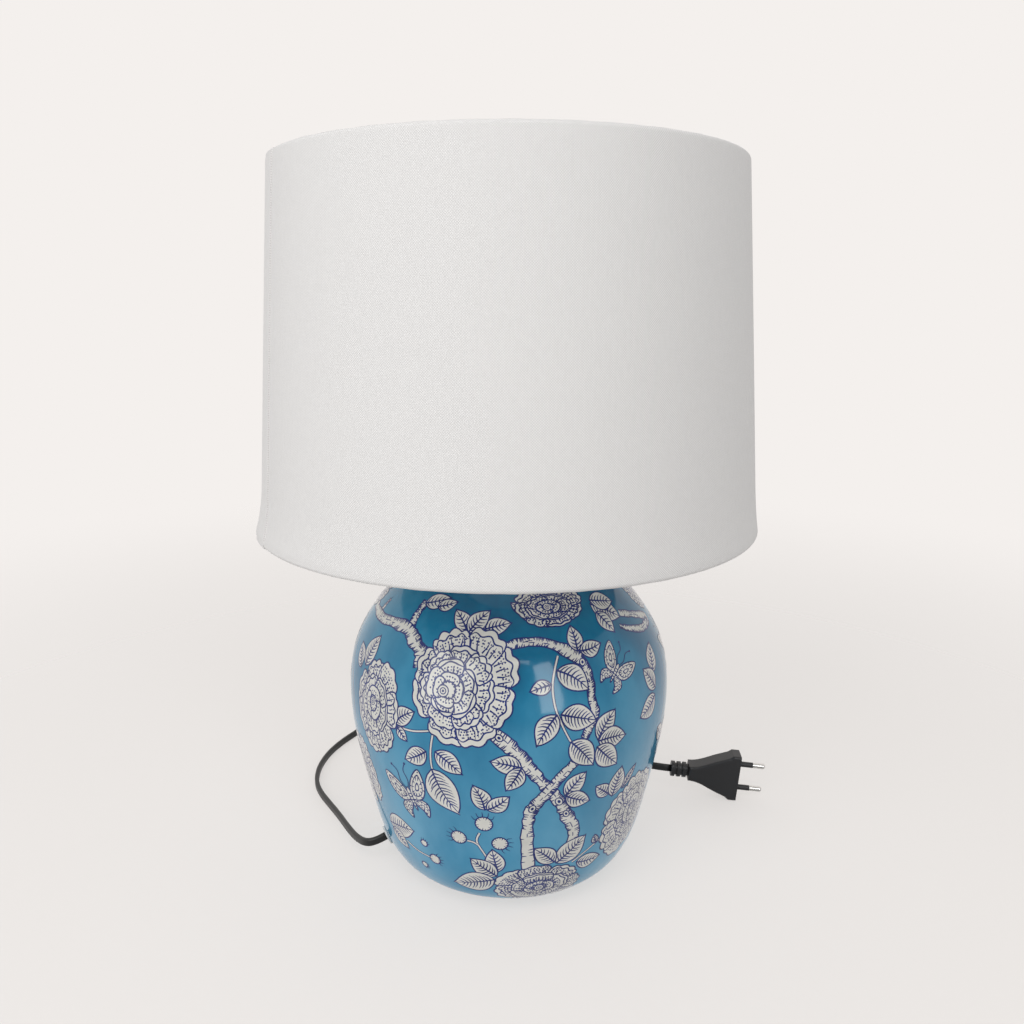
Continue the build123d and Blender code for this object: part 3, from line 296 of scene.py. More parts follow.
# %% a new finish
def new_finish(name, color, roughness, metallic=0.0):
    """A material with its base colour, roughness and metal share set."""
    finish = bpy.data.materials.new(name)
    finish.use_nodes = True
    surface = finish.node_tree.nodes["Principled BSDF"]
    surface.inputs["Base Color"].default_value = (*color, 1)
    surface.inputs["Roughness"].default_value = roughness
    surface.inputs["Metallic"].default_value = metallic
    finish.diffuse_color = (*color, 1)
    return finish


# %% noise as a factor
def noise(finish, scale, detail=4.0, stretch=(1, 1, 1)):
    """A noise texture in the object's own metres, as a factor socket."""
    tree = finish.node_tree
    place = tree.nodes.new("ShaderNodeTexCoord")
    mapping = tree.nodes.new("ShaderNodeMapping")
    mapping.inputs["Scale"].default_value = stretch
    texture = tree.nodes.new("ShaderNodeTexNoise")
    texture.inputs["Scale"].default_value = scale
    texture.inputs["Detail"].default_value = detail
    tree.links.new(place.outputs["Object"], mapping.inputs["Vector"])
    tree.links.new(mapping.outputs["Vector"], texture.inputs["Vector"])
    return texture.outputs["Fac"]


# %% colour from a factor
def ramp(finish, factor, stops):
    """A colour ramp over a factor. Each stop is a position and a colour."""
    tree = finish.node_tree
    band = tree.nodes.new("ShaderNodeValToRGB")
    elements = band.color_ramp.elements
    while len(elements) < len(stops):
        elements.new(0.5)
    for element, (position, color) in zip(elements, stops):
        element.position = position
        element.color = (*color, 1)
    tree.links.new(factor, band.inputs["Fac"])
    return band.outputs["Color"]


def color_from(finish, socket):
    """Base colour from a colour socket."""
    tree = finish.node_tree
    tree.links.new(socket, tree.nodes["Principled BSDF"].inputs["Base Color"])


# %% gloss and level from a factor
def rough_from(finish, factor, low, high):
    """Roughness that varies with a factor between two values."""
    tree = finish.node_tree
    spread = tree.nodes.new("ShaderNodeMapRange")
    spread.inputs["To Min"].default_value = low
    spread.inputs["To Max"].default_value = high
    tree.links.new(factor, spread.inputs["Value"])
    tree.links.new(spread.outputs["Result"], tree.nodes["Principled BSDF"].inputs["Roughness"])


def bump_from(finish, factor, strength, distance):
    """A bump of a given height in metres."""
    tree = finish.node_tree
    bump = tree.nodes.new("ShaderNodeBump")
    bump.inputs["Strength"].default_value = strength
    bump.inputs["Distance"].default_value = distance
    tree.links.new(factor, bump.inputs["Height"])
    tree.links.new(bump.outputs["Normal"], tree.nodes["Principled BSDF"].inputs["Normal"])


# %% [markdown]
# Most of the lamp's small pieces are pressed, turned or moulded, and differ only in colour, gloss and
# the size of their grain. One helper makes them all: the same noise varies the colour a little, the
# gloss a little and the level by a few hundredths of a millimetre.


# %% a grained finish
def grained(name, color, roughness, scale, height, metallic=0.0, vary=0.12, stretch=(1, 1, 1)):
    """A finish with fine grain: it varies a little in colour, gloss and level."""
    finish = new_finish(name, color, roughness, metallic)
    fine = noise(finish, scale, 5, stretch)
    darker = tuple(c * (1 - vary) for c in color)
    lighter = tuple(min(1, c * (1 + vary)) for c in color)
    color_from(finish, ramp(finish, fine, [(0.3, darker), (0.7, lighter)]))
    rough_from(finish, fine, roughness * 0.85, min(1, roughness * 1.15))
    bump_from(finish, fine, 0.5, height)
    return finish


# %% metals
zinc = grained("zinc", (0.55, 0.56, 0.58), 0.32, 700, 0.00002, 1.0)
satin_brass = grained("satin_brass", (0.62, 0.44, 0.2), 0.28, 1200, 0.00002, 1.0, stretch=(1, 1, 12))
contact_brass = grained("contact_brass", (0.7, 0.52, 0.24), 0.22, 800, 0.00001, 1.0)
bulb_metal = grained("bulb_metal", (0.72, 0.72, 0.72), 0.25, 900, 0.00001, 1.0)
nickel = grained("nickel", (0.7, 0.69, 0.67), 0.18, 600, 0.00001, 1.0, vary=0.05)
metals = (zinc, satin_brass, contact_brass, bulb_metal, nickel)
print(len(metals), "metals")

# %% felt, board, plastic and enamel
felt = grained("felt", (0.02, 0.02, 0.022), 0.95, 2500, 0.0003, vary=0.4)
board = grained("board", (0.16, 0.11, 0.07), 0.85, 900, 0.0001, vary=0.25)
rubber = grained("rubber", (0.02, 0.02, 0.02), 0.7, 1500, 0.00005)
holder_white = grained("holder_white", (0.78, 0.77, 0.73), 0.42, 2200, 0.00004, vary=0.03)
porcelain = grained("porcelain", (0.84, 0.83, 0.78), 0.15, 300, 0.00003, vary=0.03)
white_enamel = grained("white_enamel", (0.78, 0.78, 0.75), 0.35, 900, 0.00003, vary=0.03)
cord_skin = grained("cord_skin", (0.016, 0.0155, 0.015), 0.42, 1300, 0.00003, vary=0.25)
switch_skin = grained("switch_skin", (0.03, 0.03, 0.032), 0.42, 3200, 0.00004, vary=0.2)
plug_skin = grained("plug_skin", (0.024, 0.024, 0.026), 0.42, 3000, 0.00004, vary=0.15)
tie_skin = grained("tie_skin", (0.02, 0.02, 0.02), 0.5, 1800, 0.00003)
phosphor = grained("phosphor", (0.85, 0.62, 0.22), 0.6, 2500, 0.00003, vary=0.1)
black_glass = grained("black_glass", (0.01, 0.01, 0.012), 0.12, 400, 0.00001)
liner_film = grained("liner_film", (0.8, 0.8, 0.78), 0.5, 500, 0.00002, vary=0.02)
print(len(bpy.data.materials), "finishes so far")

# %% [markdown]
# The bulb is clear glass, and the ring round the cord is milky plastic that lets only a part of the
# light through. Both let light through by the Principled surface's own transmission.


# %% clear finishes
def clear(name, tint, roughness, clearness):
    """A finish that lets a share of the light through."""
    finish = new_finish(name, tint, roughness)
    surface = finish.node_tree.nodes["Principled BSDF"]
    surface.inputs["Transmission Weight"].default_value = clearness
    surface.inputs["IOR"].default_value = 1.49
    bump_from(finish, noise(finish, 60, 2), 0.2, 0.00004)
    return finish


bulb_clear = clear("bulb_clear", (0.98, 0.98, 0.97), 0.0, 1.0)
grommet_clear = clear("grommet_clear", (0.9, 0.9, 0.9), 0.25, 0.25)
print("clear:", bulb_clear.name, "and", grommet_clear.name)

# %% [markdown]
# These pieces of the plain model already have their real shape, so they keep it and get a finish. A
# table says which finish each of them has.

# %% finishes of the plain pieces
plain = {
    "foot_felt": felt,
    "bottom_cover": board,
    "cord_grommet": grommet_clear,
    "grommet_nut": grommet_clear,
    "threaded_nipple": zinc,
    "rubber_washer": rubber,
    "steel_washer": zinc,
    "nipple_nut": zinc,
    "vase_cap": satin_brass,
    "collar": satin_brass,
    "holder_cap": holder_white,
    "holder_set_screw": zinc,
    "holder_skirt": holder_white,
    "holder_insert": porcelain,
    "terminal_blocks": contact_brass,
    "terminal_screws": zinc,
    "screw_shell": contact_brass,
    "centre_contact": contact_brass,
    "cord_inside": cord_skin,
    "coil_tie": tie_skin,
    "switch_bottom_shell": switch_skin,
    "switch_top_shell": switch_skin,
    "switch_rocker": switch_skin,
    "switch_screws": zinc,
    "rocker_pin": zinc,
    "switch_contacts": contact_brass,
    "plug_body": plug_skin,
    "plug_pins": nickel,
    "pin_sleeves": plug_skin,
    "shade_liner": liner_film,
    "bottom_ring": white_enamel,
    "top_ring": white_enamel,
    "spider_arms": white_enamel,
    "shade_fitter": white_enamel,
    "shade_nut": holder_white,
    "bulb_cap": bulb_metal,
    "bulb_contact": bulb_metal,
    "bulb_insulator": black_glass,
    "bulb_glass": bulb_clear,
    "bulb_stem": bulb_clear,
    "bulb_filaments": phosphor,
    "filament_wires": zinc,
}
for name, finish in plain.items():
    mesh = nodes[name].data
    mesh.materials.clear()
    mesh.materials.append(finish)
print(len(plain), "nodes keep their shape and get a finish")

# %% [markdown]
# The cord's tube takes the place of the plain model's five runs of cord. The switch, the tie round the
# coil and the plug keep their places from the plain model.

# %% the cord as a piece
cord = make_piece("cord", cord_points, cord_faces, [cord_skin], "base")
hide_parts("cord_to_switch", "cord_in_switch", "cord_to_coil", "cord_coil", "cord_to_plug")
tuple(cord_line[0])

# %% [markdown]
# ## The glaze
# The jar's ground is a deep teal glaze, laid on by brush, so it is cloudy. Its low part is painted
# lighter, a painted reflection of the white floor. One ramp from dark to light would make the low
# part as deep as the shoulder. So two ramps over the same clouds, the glaze's deep one and a lighter
# one for the painted reflection, are mixed by the height.

# %% deep glaze and painted floor reflection
jar_glaze = new_finish("jar_glaze", (0.02, 0.2, 0.34), 0.1)
tree = jar_glaze.node_tree
clouds = noise(jar_glaze, 24, 6, (1, 1, 0.6))
deep_stops = [(0.34, (0.001, 0.1, 0.21)), (0.5, (0.003, 0.165, 0.31)), (0.66, (0.03, 0.24, 0.4))]
# the lighter tones are a painted reflection of the white floor on the jar's low part
floor_reflection_stops = [(0.34, (0.045, 0.26, 0.44)), (0.66, (0.12, 0.37, 0.56))]
deep = ramp(jar_glaze, clouds, deep_stops)
# thin is the colour of the painted floor reflection
thin = ramp(jar_glaze, clouds, floor_reflection_stops)
print("the glaze has", len(deep_stops), "deep and", len(floor_reflection_stops), "thin tones")

# %% mixed by height
# below the first height the jar shows only the painted floor reflection, above the second only the deep glaze
floor_reflection_below, deep_above = 0.05, 0.17
place = tree.nodes.new("ShaderNodeTexCoord")
split = tree.nodes.new("ShaderNodeSeparateXYZ")
tree.links.new(place.outputs["Object"], split.inputs[0])
up = tree.nodes.new("ShaderNodeMapRange")
up.inputs["From Min"].default_value = floor_reflection_below
up.inputs["From Max"].default_value = deep_above
tree.links.new(split.outputs["Z"], up.inputs["Value"])
both = tree.nodes.new("ShaderNodeMix")
both.data_type = "RGBA"
tree.links.new(up.outputs["Result"], both.inputs[0])
tree.links.new(thin, both.inputs[6])
tree.links.new(deep, both.inputs[7])
color_from(jar_glaze, both.outputs[2])
print("thin below", floor_reflection_below, "m, deep above", deep_above, "m")

# %% the wet level of the glaze
rough_from(jar_glaze, clouds, 0.06, 0.12)
bump_from(jar_glaze, noise(jar_glaze, 45, 2), 0.35, 0.0002)
mesh = nodes["jar_body"].data
mesh.materials.clear()
mesh.materials.append(jar_glaze)
print("the jar has", len(mesh.polygons), "faces")

# %% [markdown]
# The painter's two colours lie under the same clear glaze, so they share its bump. The brush leaves
# them uneven, which a slow noise between two tones of each colour gives.


# %% the painter's colours
def painted_glaze(name, light, dark, roughness):
    """A painted colour under the same clear glaze."""
    finish = new_finish(name, light, roughness)
    color_from(finish, ramp(finish, noise(finish, 90, 5), [(0.32, dark), (0.68, light)]))
    bump_from(finish, noise(finish, 45, 2), 0.35, 0.0002)
    return finish


ink_blue = painted_glaze("ink_blue", (0.026, 0.045, 0.2), (0.012, 0.02, 0.12), 0.12)
slip_white = painted_glaze("slip_white", (0.72, 0.71, 0.67), (0.62, 0.62, 0.58), 0.1)
print("painted with", ink_blue.name, "and", slip_white.name)

# %% [markdown]
# ## The jar's wall
# The paint has to follow the jar's round wall. The wall's outline is read from the jar itself, with
# rays from the front: at each height its radius, and the length up the wall from the foot.

# %% the wall's outline
jar_mesh = nodes["jar_body"].data
jar_points = [vertex.co for vertex in jar_mesh.vertices]
jar_faces = [tuple(face.vertices) for face in jar_mesh.polygons]
jar_skin = BVHTree.FromPolygons(jar_points, jar_faces)
foot_radius, foot_height = 46.0, 1.5
first_ray, ray_count = 2.0, 207
wall = [(foot_radius, 0.0, foot_height)]
for step in range(ray_count):
    height = first_ray + step
    hit = jar_skin.ray_cast(Vector((0, -0.2, height * mm)), Vector((0, 1, 0)))[0]
    radius = -hit.y / mm
    climbed = math.dist((radius, height), (wall[-1][0], wall[-1][2]))
    wall.append((radius, wall[-1][1] + climbed, height))
climbs = [up for _, up, _ in wall]
print("the wall is", round(wall[-1][1], 1), "mm long from foot to neck")

# %% [markdown]
# ## A pen for the painted pattern
# The jar is painted in a common old style: peonies, knotty branches, leaves, berries and butterflies,
# white with dark blue lines. A flat point is a complex number in millimetres: its real part goes round
# the jar to the right, its imaginary part up the wall. A motif is a list of filled outlines, each with
# its colour, and later ones cover earlier ones, as a brush would. Curves with a width could draw the
# lines too, but filled outlines can cover one another without any gap or flicker.


# %% a smooth line
ink, slip = 0, 1


def smooth(points, steps=5, closed=False):
    """A smooth line through points."""
    count = len(points)
    line = []
    for i in range(count if closed else count - 1):
        before = points[(i - 1) % count] if closed or i else points[0]
        here, there = points[i], points[(i + 1) % count]
        after = points[(i + 2) % count] if closed or i < count - 2 else points[-1]
        for k in range(steps):
            t = k / steps
            bend = (2 * before - 5 * here + 4 * there - after) * t * t
            swing = (3 * here - before - 3 * there + after) * t ** 3
            line.append((2 * here + (there - before) * t + bend + swing) / 2)
    return line if closed else line + [points[-1]]


print("three points make a line of", len(smooth([0j, 1 + 1j, 2 + 0j])))


# %% a brush stroke
def between(values, share):
    """A value at a share of the way along a row of values."""
    place = share * (len(values) - 1)
    low = min(int(place), len(values) - 2)
    return values[low] + (values[low + 1] - values[low]) * (place - low)


def ribbon(line, halves):
    """The outline of a brush stroke along a line, with its half widths spread along it."""
    left, right = [], []
    for i, here in enumerate(line):
        ahead = line[min(i + 1, len(line) - 1)] - line[max(i - 1, 0)]
        side = ahead / abs(ahead) * 1j * between(halves, i / (len(line) - 1))
        left.append(here + side)
        right.append(here - side)
    return left + right[::-1]


# %% a white shape with a dark line round it
def grown(outline, by):
    """An outline with every point moved outward by a distance."""
    turn = sum((a.conjugate() * b).imag for a, b in zip(outline, outline[1:] + outline[:1]))
    out = -1j if turn > 0 else 1j
    moved = []
    for i, here in enumerate(outline):
        ahead = outline[(i + 1) % len(outline)] - outline[i - 1]
        moved.append(here + out * ahead / max(abs(ahead), 1e-6) * by)
    return moved


def edged(outline, line=0.46):
    """A white shape with a dark line round it, most of the line outside of it."""
    return [(ink, grown(outline, line)), (slip, grown(outline, -line * 0.8))]


print("a white square is drawn with", len(edged([0j, 1 + 0j, 1 + 1j, 1j])), "outlines")


# %% dots and short strokes
def unit_flat(degrees):
    """A flat step of 1 mm in a direction."""
    return complex(math.cos(math.radians(degrees)), math.sin(math.radians(degrees)))


def disc(center, radius, count=8, color=ink):
    """A round dot."""
    return (color, [center + radius * unit_flat(360 * k / count) for k in range(count)])


def stroke(start, end, thick=0.36, thin=0.1, bend=0.0):
    """A short tapered stroke."""
    middle = (start + end) / 2 + (end - start) * 1j * bend
    return (ink, ribbon([start, middle, end], [thick, (thick + thin) / 1.7, thin]))


print("a dot is made of", len(disc(0j, 1)[1]), "points and a stroke of", len(stroke(0j, 1 + 0j)[1]))

# %% [markdown]
# ## Leaves, branches and berries
# A leaf is an outline, a rib and two rows of tapered veins. The painter's leaves are all a little
# different, so each one gets chances of its own, from a seed that makes them the same every time.


# %% leaf
def leaf(length, width, seed=0):
    """A leaf along the real axis, from its base to its tip."""
    chance = random.Random(seed)
    bow = chance.uniform(-0.07, 0.07)

    def spot(t, side):
        swell = width / 2 * math.sin(math.pi * t ** 0.85) ** 0.8
        return complex(t * length, side * swell + bow * length * math.sin(math.pi * t))

    upper = [spot(k / 12, 1) for k in range(13)]
    lower = [spot(k / 12, -1) for k in range(11, 0, -1)]
    shapes = edged(upper + [complex(length * 1.05, 0.3)] + lower)
    rib = [spot(k / 8, 0) for k in range(9)]
    shapes.append((ink, ribbon(rib, [0.6, 0.45, 0.25])))
    count = max(4, round(length / 2.9))
    for side in (1, -1):
        for k in range(count):
            t = 0.1 + 0.74 * k / count + chance.uniform(-0.01, 0.01)
            reach = chance.uniform(0.62, 0.8)
            start = spot(t, side * 0.06)
            end = spot(min(0.97, t + 0.13), side * reach)
            shapes.append(stroke(start, end, 0.44, 0.14, 0.08 * side))
    return shapes


print("a leaf of 20 mm has", len(leaf(20, 13)), "outlines")

# %% [markdown]
# A stem is two strokes, a dark one and a thinner white one over it. A branch is a ribbon whose edges
# are uneven. Its bark is short strokes in from both edges, and a knot is an eye with a dark middle.


# %% stem
def stem(points, half=0.95):
    """A thin stem along a line."""
    line = smooth(points, 5)
    inside = [half - 0.45, half * 0.9 - 0.45]
    return [(ink, ribbon(line, [half, half * 0.9])), (slip, ribbon(line, inside))]


print("a stem is", len(stem([0j, 10 + 2j, 20 + 0j])), "strokes")


# %% branch
def bark(line, rough, chance):
    """Short strokes in from both edges of a branch, and a few along it."""
    shapes = []
    for i in range(1, len(line) - 1):
        ahead = (line[i + 1] - line[i - 1]) / abs(line[i + 1] - line[i - 1])
        half = between(rough, i / (len(line) - 1))
        for side in (1, -1):
            for part in (0.0, 0.5):
                if chance.random() < (0.78 if side > 0 else 0.5):
                    at = line[i] + (line[i + 1] - line[i]) * part
                    start = at + 1j * ahead * side * half
                    depth = chance.uniform(0.35, 0.95) * half
                    end = start - 1j * ahead * side * depth + ahead * chance.uniform(0.1, 0.9)
                    shapes.append(stroke(start, end, 0.44, 0.14))
        if chance.random() < 0.22:
            start = line[i] + 1j * ahead * half * chance.uniform(-0.3, 0.3)
            shapes.append(stroke(start, start + ahead * chance.uniform(2.5, 4), 0.28, 0.2, 0.04))
    return shapes


def knot(at, way, size):
    """An eye in the bark: a ring, longer along the branch, with a dark middle."""
    turns = [k * math.pi / 7 for k in range(14)]
    ring = [at + (size * 1.3 * math.cos(a) + 1j * size * math.sin(a)) * way for a in turns]
    return edged(ring, 0.4) + [(ink, [at + (p - at) * 0.45 for p in ring])]


def branch(points, halves, knots=(), seed=0):
    """A knotty branch along a line, with its half widths spread along it."""
    chance = random.Random(seed)
    line = smooth(points, 7)
    rough = [between(halves, k / 40) * chance.uniform(0.78, 1.18) for k in range(41)]
    shapes = [(ink, ribbon(line, [half + 0.45 for half in rough]))]
    shapes.append((slip, ribbon(line, [half - 0.35 for half in rough])))
    shapes += bark(line, rough, chance)
    last = len(line) - 1
    for share, size in knots:
        spot = round(share * last)
        way = line[min(spot + 1, last)] - line[spot]
        shapes += knot(line[spot], way / max(abs(way), 1e-6), size)
    return shapes


print("a branch of 40 mm has", len(branch([0j, 20 + 3j, 40 + 0j], [3, 2])), "outlines")


# %% berry
def berry(radius, facing):
    """A round berry with a hairy crown on the side that it faces."""
    way = unit_flat(facing)
    shapes = []
    for k in range(5):
        tip = way * unit_flat(-50 + 25 * k)
        shapes.append(stroke(tip * radius * 0.8, tip * radius * 1.75, 0.34, 0.1, 0.1 * (k - 2)))
    shapes += edged([radius * unit_flat(360 * k / 18) for k in range(18)])
    for k in range(17):
        spoke = unit_flat(360 * k / 17 + 4)
        shapes.append(stroke(spoke * radius, spoke * radius * (0.6 + 0.12 * (k % 3)), 0.3, 0.1))
    return shapes


print("a berry has", len(berry(5, 90)), "outlines")

# %% [markdown]
# ## Peonies
# A peony is four rings of petals round a core that sits to one side, or three rings if it is small.
# Each ring lies nearer to the core and covers the feet of the ring outside it. Petals have scalloped
# rims, some of them rolled, and carry short dark rays at their feet and rows of dots.


# %% a petal's outline
def flower_spots(width, height, core):
    """A way to place points of a flower: by a ring's size, a share of that size, and an angle."""

    def spot(size, share, angle):
        middle = core * (1 - size) + share * size * unit_flat(angle)
        return complex(middle.real * width / 2, middle.imag * height / 2)

    return spot


def petal_outline(spot, size, middle, half, lobes, depth, reach):
    """A scalloped rim and a narrower foot."""
    outline = []
    for k in range(21):
        across = k / 10 - 1
        scallop = depth * abs(math.cos(math.pi * lobes * (across + 1) / 2 + math.pi / 2))
        drop = 0.28 * across ** 6 + 0.05 * across ** 2
        outline.append(spot(size, reach * (1 + scallop - depth - drop), middle + half * across))
    return outline + [spot(size, 0.5, middle + half * across) for across in (0.75, 0.3, -0.3, -0.75)]


def rolled_rim(spot, size, middle, half, lobes, reach):
    """A dark wavy line where the petal's rim rolls over."""
    line = []
    for k in range(3, 30):
        across = k / 16 - 1
        wave = 0.86 + 0.03 * math.cos(across * 3.1 * lobes) - 0.1 * across ** 4
        line.append(spot(size, reach * wave, middle + half * across))
    return (ink, ribbon(line, [0.25, 0.46, 0.46, 0.46, 0.25]))


outer_petal = petal_outline(flower_spots(60, 60, 0j), 1, 0, 20, 3, 0.05, 1)
print("a petal's outline has", len(outer_petal), "points")


# %% rays and dots on a petal
def petal_rays(spot, chance, width, size, inner, band, middle, half):
    """Short dark rays out from a petal's foot."""
    shapes = []
    count = max(3, round(half * size * width / 330))
    for k in range(count):
        across = (k + 0.5) / count * 2 - 1 + chance.uniform(-0.1, 0.1)
        angle = middle + half * across * 0.85
        start = spot(size, (inner * 0.9) / size, angle)
        share = (inner + band * chance.uniform(0.3, 0.7)) / size
        end = spot(size, share, angle + chance.uniform(-4, 4))
        if abs(end - start) > 1:
            shapes.append(stroke(start, end, 0.5, 0.12, chance.uniform(-0.14, 0.14)))
    return shapes


def petal_dots(spot, chance, width, size, inner, band, middle, half, far):
    """Rows of dots over a petal, as far out as a share of its band."""
    shapes = []
    rows = max(2, round(band * far * width / 2 / 1.6))
    for row in range(rows):
        share = inner + band * far * (row + 0.5) / rows
        arc = math.radians(half * 1.7) * share * width / 2
        count = max(2, round(arc / 1.75) - row // 2)
        for k in range(count):
            across = ((k + 0.5 * (row % 2) + 0.25) / count * 2 - 1) * 0.86
            at = spot(size, share / size, middle + half * across + chance.uniform(-1.4, 1.4))
            if chance.random() < 0.9:
                shapes.append(disc(at, chance.uniform(0.48, 0.6), 6))
    return shapes


# %% peony
def peony(width, height, core=0j, seed=0, spin=0.0):
    """A peony round the middle, with its core moved aside by a share of its half size."""
    chance = random.Random(seed)
    spot = flower_spots(width, height, core)
    sizes, counts = [1.0, 0.7, 0.47, 0.28, 0.12], [8, 7, 5, 4]
    if width < 60:
        sizes, counts = [1.0, 0.64, 0.34, 0.12], [7, 5, 3]
    shapes = [(slip, [spot(0.6, 1, 30 * k) for k in range(12)])]
    for size, inner, count in zip(sizes, sizes[1:], counts):
        order = list(range(count))
        chance.shuffle(order)
        for petal in order:
            middle = spin + 360 * petal / count + chance.uniform(-7, 7) + 20 * count
            half = 180 / count * chance.uniform(1.15, 1.35)
            lobes = chance.choice([3, 4]) if size > 0.6 else 2
            depth = chance.uniform(0.04, 0.075)
            reach = chance.uniform(0.94, 1.05)
            shapes += edged(petal_outline(spot, size, middle, half, lobes, depth, reach), 0.5)
            rolled = size > 0.4 and chance.random() < 0.8
            if rolled:
                shapes.append(rolled_rim(spot, size, middle, half, lobes, reach))
            band = size * 0.97 - inner
            shapes += petal_rays(spot, chance, width, size, inner, band, middle, half)
            far = 0.55 if rolled else 0.8
            shapes += petal_dots(spot, chance, width, size, inner, band, middle, half, far)
    heart, scale = spot(0.0, 1, 0), width / 60
    for radius, color in ((3.4, ink), (2.7, slip), (1.9, ink), (1.3, slip), (0.7, ink)):
        shapes.append(disc(heart, radius * scale, 14, color))
    return shapes


print("a large peony has", len(peony(64, 68)), "outlines")

# %% [markdown]
# ## Butterflies
# One side's two wings are drawn and mirrored. Each wing has a rim with dots, a dark band, and a cell
# with rays. The feelers come first and the body last, so that it covers the wings' roots.


# %% a butterfly's wing
def wing_shapes(points, side):
    """A wing from given points, on the right for a side of 1 and on the left for -1."""
    wing = [complex(side * p.real, p.imag) for p in smooth(points, 4, closed=True)]
    middle = sum(wing) / len(wing)

    def at(share, k):
        return middle + (wing[k % len(wing)] - middle) * share

    shapes = edged(wing, 0.45)
    for k in range(0, len(wing), 4):
        shapes.append(disc(at(0.86, k), 0.5, 6))
    for share, color in ((0.74, ink), (0.65, slip), (0.3, ink), (0.18, slip)):
        shapes.append((color, [at(share, k) for k in range(len(wing))]))
    for k in range(1, len(wing), 3):
        shapes.append(stroke(at(0.7, k), at(0.42, k), 0.4, 0.14))
    return shapes


# %% butterfly
def butterfly(size):
    """A butterfly that looks up, as wide as its size."""
    fore = [0.5 + 1j, 3 + 8j, 8 + 14j, 13.5 + 17j, 14 + 10j, 12 + 4j, 8 - 0.5j, 3 - 1j]
    hind = [1 - 0.5j, 6 - 1j, 9.5 - 4j, 9 - 8j, 6 - 12.5j, 4.5 - 8j, 2 - 5j]
    drawn_size = 28
    shapes = []
    for side in (-1, 1):
        feeler = [complex(x * side, y) for x, y in ((0.4, 6), (3, 11), (2.5, 17), (5.5, 21))]
        line = smooth(feeler, 5)
        shapes.append((ink, ribbon(line, [0.32, 0.28])))
        shapes.append(disc(line[-1], 0.8, 8))
    for points in (hind, fore):
        for side in (1, -1):
            shapes += wing_shapes(points, side)
    right = [(0, 7), (1.2, 5), (1.1, 1), (0.8, -4), (0, -8)]
    left = [(-x, y) for x, y in right[3:0:-1]]
    body = [complex(x, y) for x, y in right + left]
    shapes += edged(smooth(body, 3, closed=True), 0.4)
    for k in range(5):
        shapes.append(stroke(complex(-1, 3 - 2 * k), complex(1, 3 - 2 * k), 0.3, 0.3))
    return [(color, [p * size / drawn_size for p in outline]) for color, outline in shapes]


print("a butterfly has", len(butterfly(28)), "outlines")

# %% [markdown]
# ## Where the motifs go
# A place on the jar is an angle from the front, towards the right, and a length up the wall from the
# foot. The whole pattern could be drawn flat and wrapped round the jar, but a jar isn't a cylinder and
# the motifs would shrink towards its neck. So each motif is laid on the wall round its own place.


# %% the wall's girth
def girth(up):
    """The jar's radius at a length up its wall."""
    place = min(max(bisect.bisect(climbs, up) - 1, 0), len(wall) - 2)
    (radius, here, _), (wider, there, _) = wall[place : place + 2]
    return radius + (wider - radius) * (up - here) / (there - here)


print("radius", round(girth(60), 1), "mm low on the wall,", round(girth(180), 1), "mm at the shoulder")


# %% laying motifs on the wall
def flat(place, start):
    """A place on the jar as a flat point round a starting place."""
    return complex(math.radians(place[0] - start[0]) * girth(place[1]), place[1] - start[1])


def laid(shapes, start, turn=0.0, scale=1.0):
    """A motif turned, scaled and laid on the wall: (angle in radians, length up the wall)."""
    twist = unit_flat(turn) * scale
    found = []
    angle, foot = math.radians(start[0]), start[1]
    for color, outline in shapes:
        places = []
        for point in outline:
            up = foot + (point * twist).imag
            places.append((angle + (point * twist).real / girth(up), up))
        found.append((color, places))
    return found


def leaf_between(base, tip, seed=0, wide=0.66):
    """A leaf laid from a base to a tip, both places on the jar."""
    reach = flat(tip, base)
    turn = math.degrees(math.atan2(reach.imag, reach.real))
    return laid(leaf(abs(reach), abs(reach) * wide, seed), base, turn)


def line_of(places):
    """Places on the jar as flat points round the first of them."""
    return [flat(place, places[0]) for place in places]


print("a leaf on the jar has", len(leaf_between((0, 100), (0, 120))), "outlines")


# %% stems
stems = [
    [
        (18.1, 196.9), (16.2, 190), (14.6, 180.7), (14.8, 170.3), (16.5, 160.8), (19.3, 150),
        (21.8, 143.8),
    ],
    [
        (-37.4, 150.1), (-31.6, 150.6), (-25.4, 153.2),
    ],
    [
        (-24.2, 151.9), (-25.1, 141.5), (-25, 131.4), (-23.5, 122.7), (-20.8, 106.5),
    ],
    [
        (25, 61.6), (31, 67.5), (40.2, 76.3),
    ],
    [
        (-43.5, 66), (-38.2, 62.6), (-32.3, 61.4),
    ],
    [
        (-10, 90), (-11.2, 82.9), (-7.9, 71.1), (-5.2, 58.5),
    ],
    [
        (-14.7, 83), (-12.5, 82.4), (-10.9, 80.6),
    ],
    [
        (4.1, 136), (5.2, 136.5), (6.4, 137.5),
    ],
]
print(len(stems), "stems")

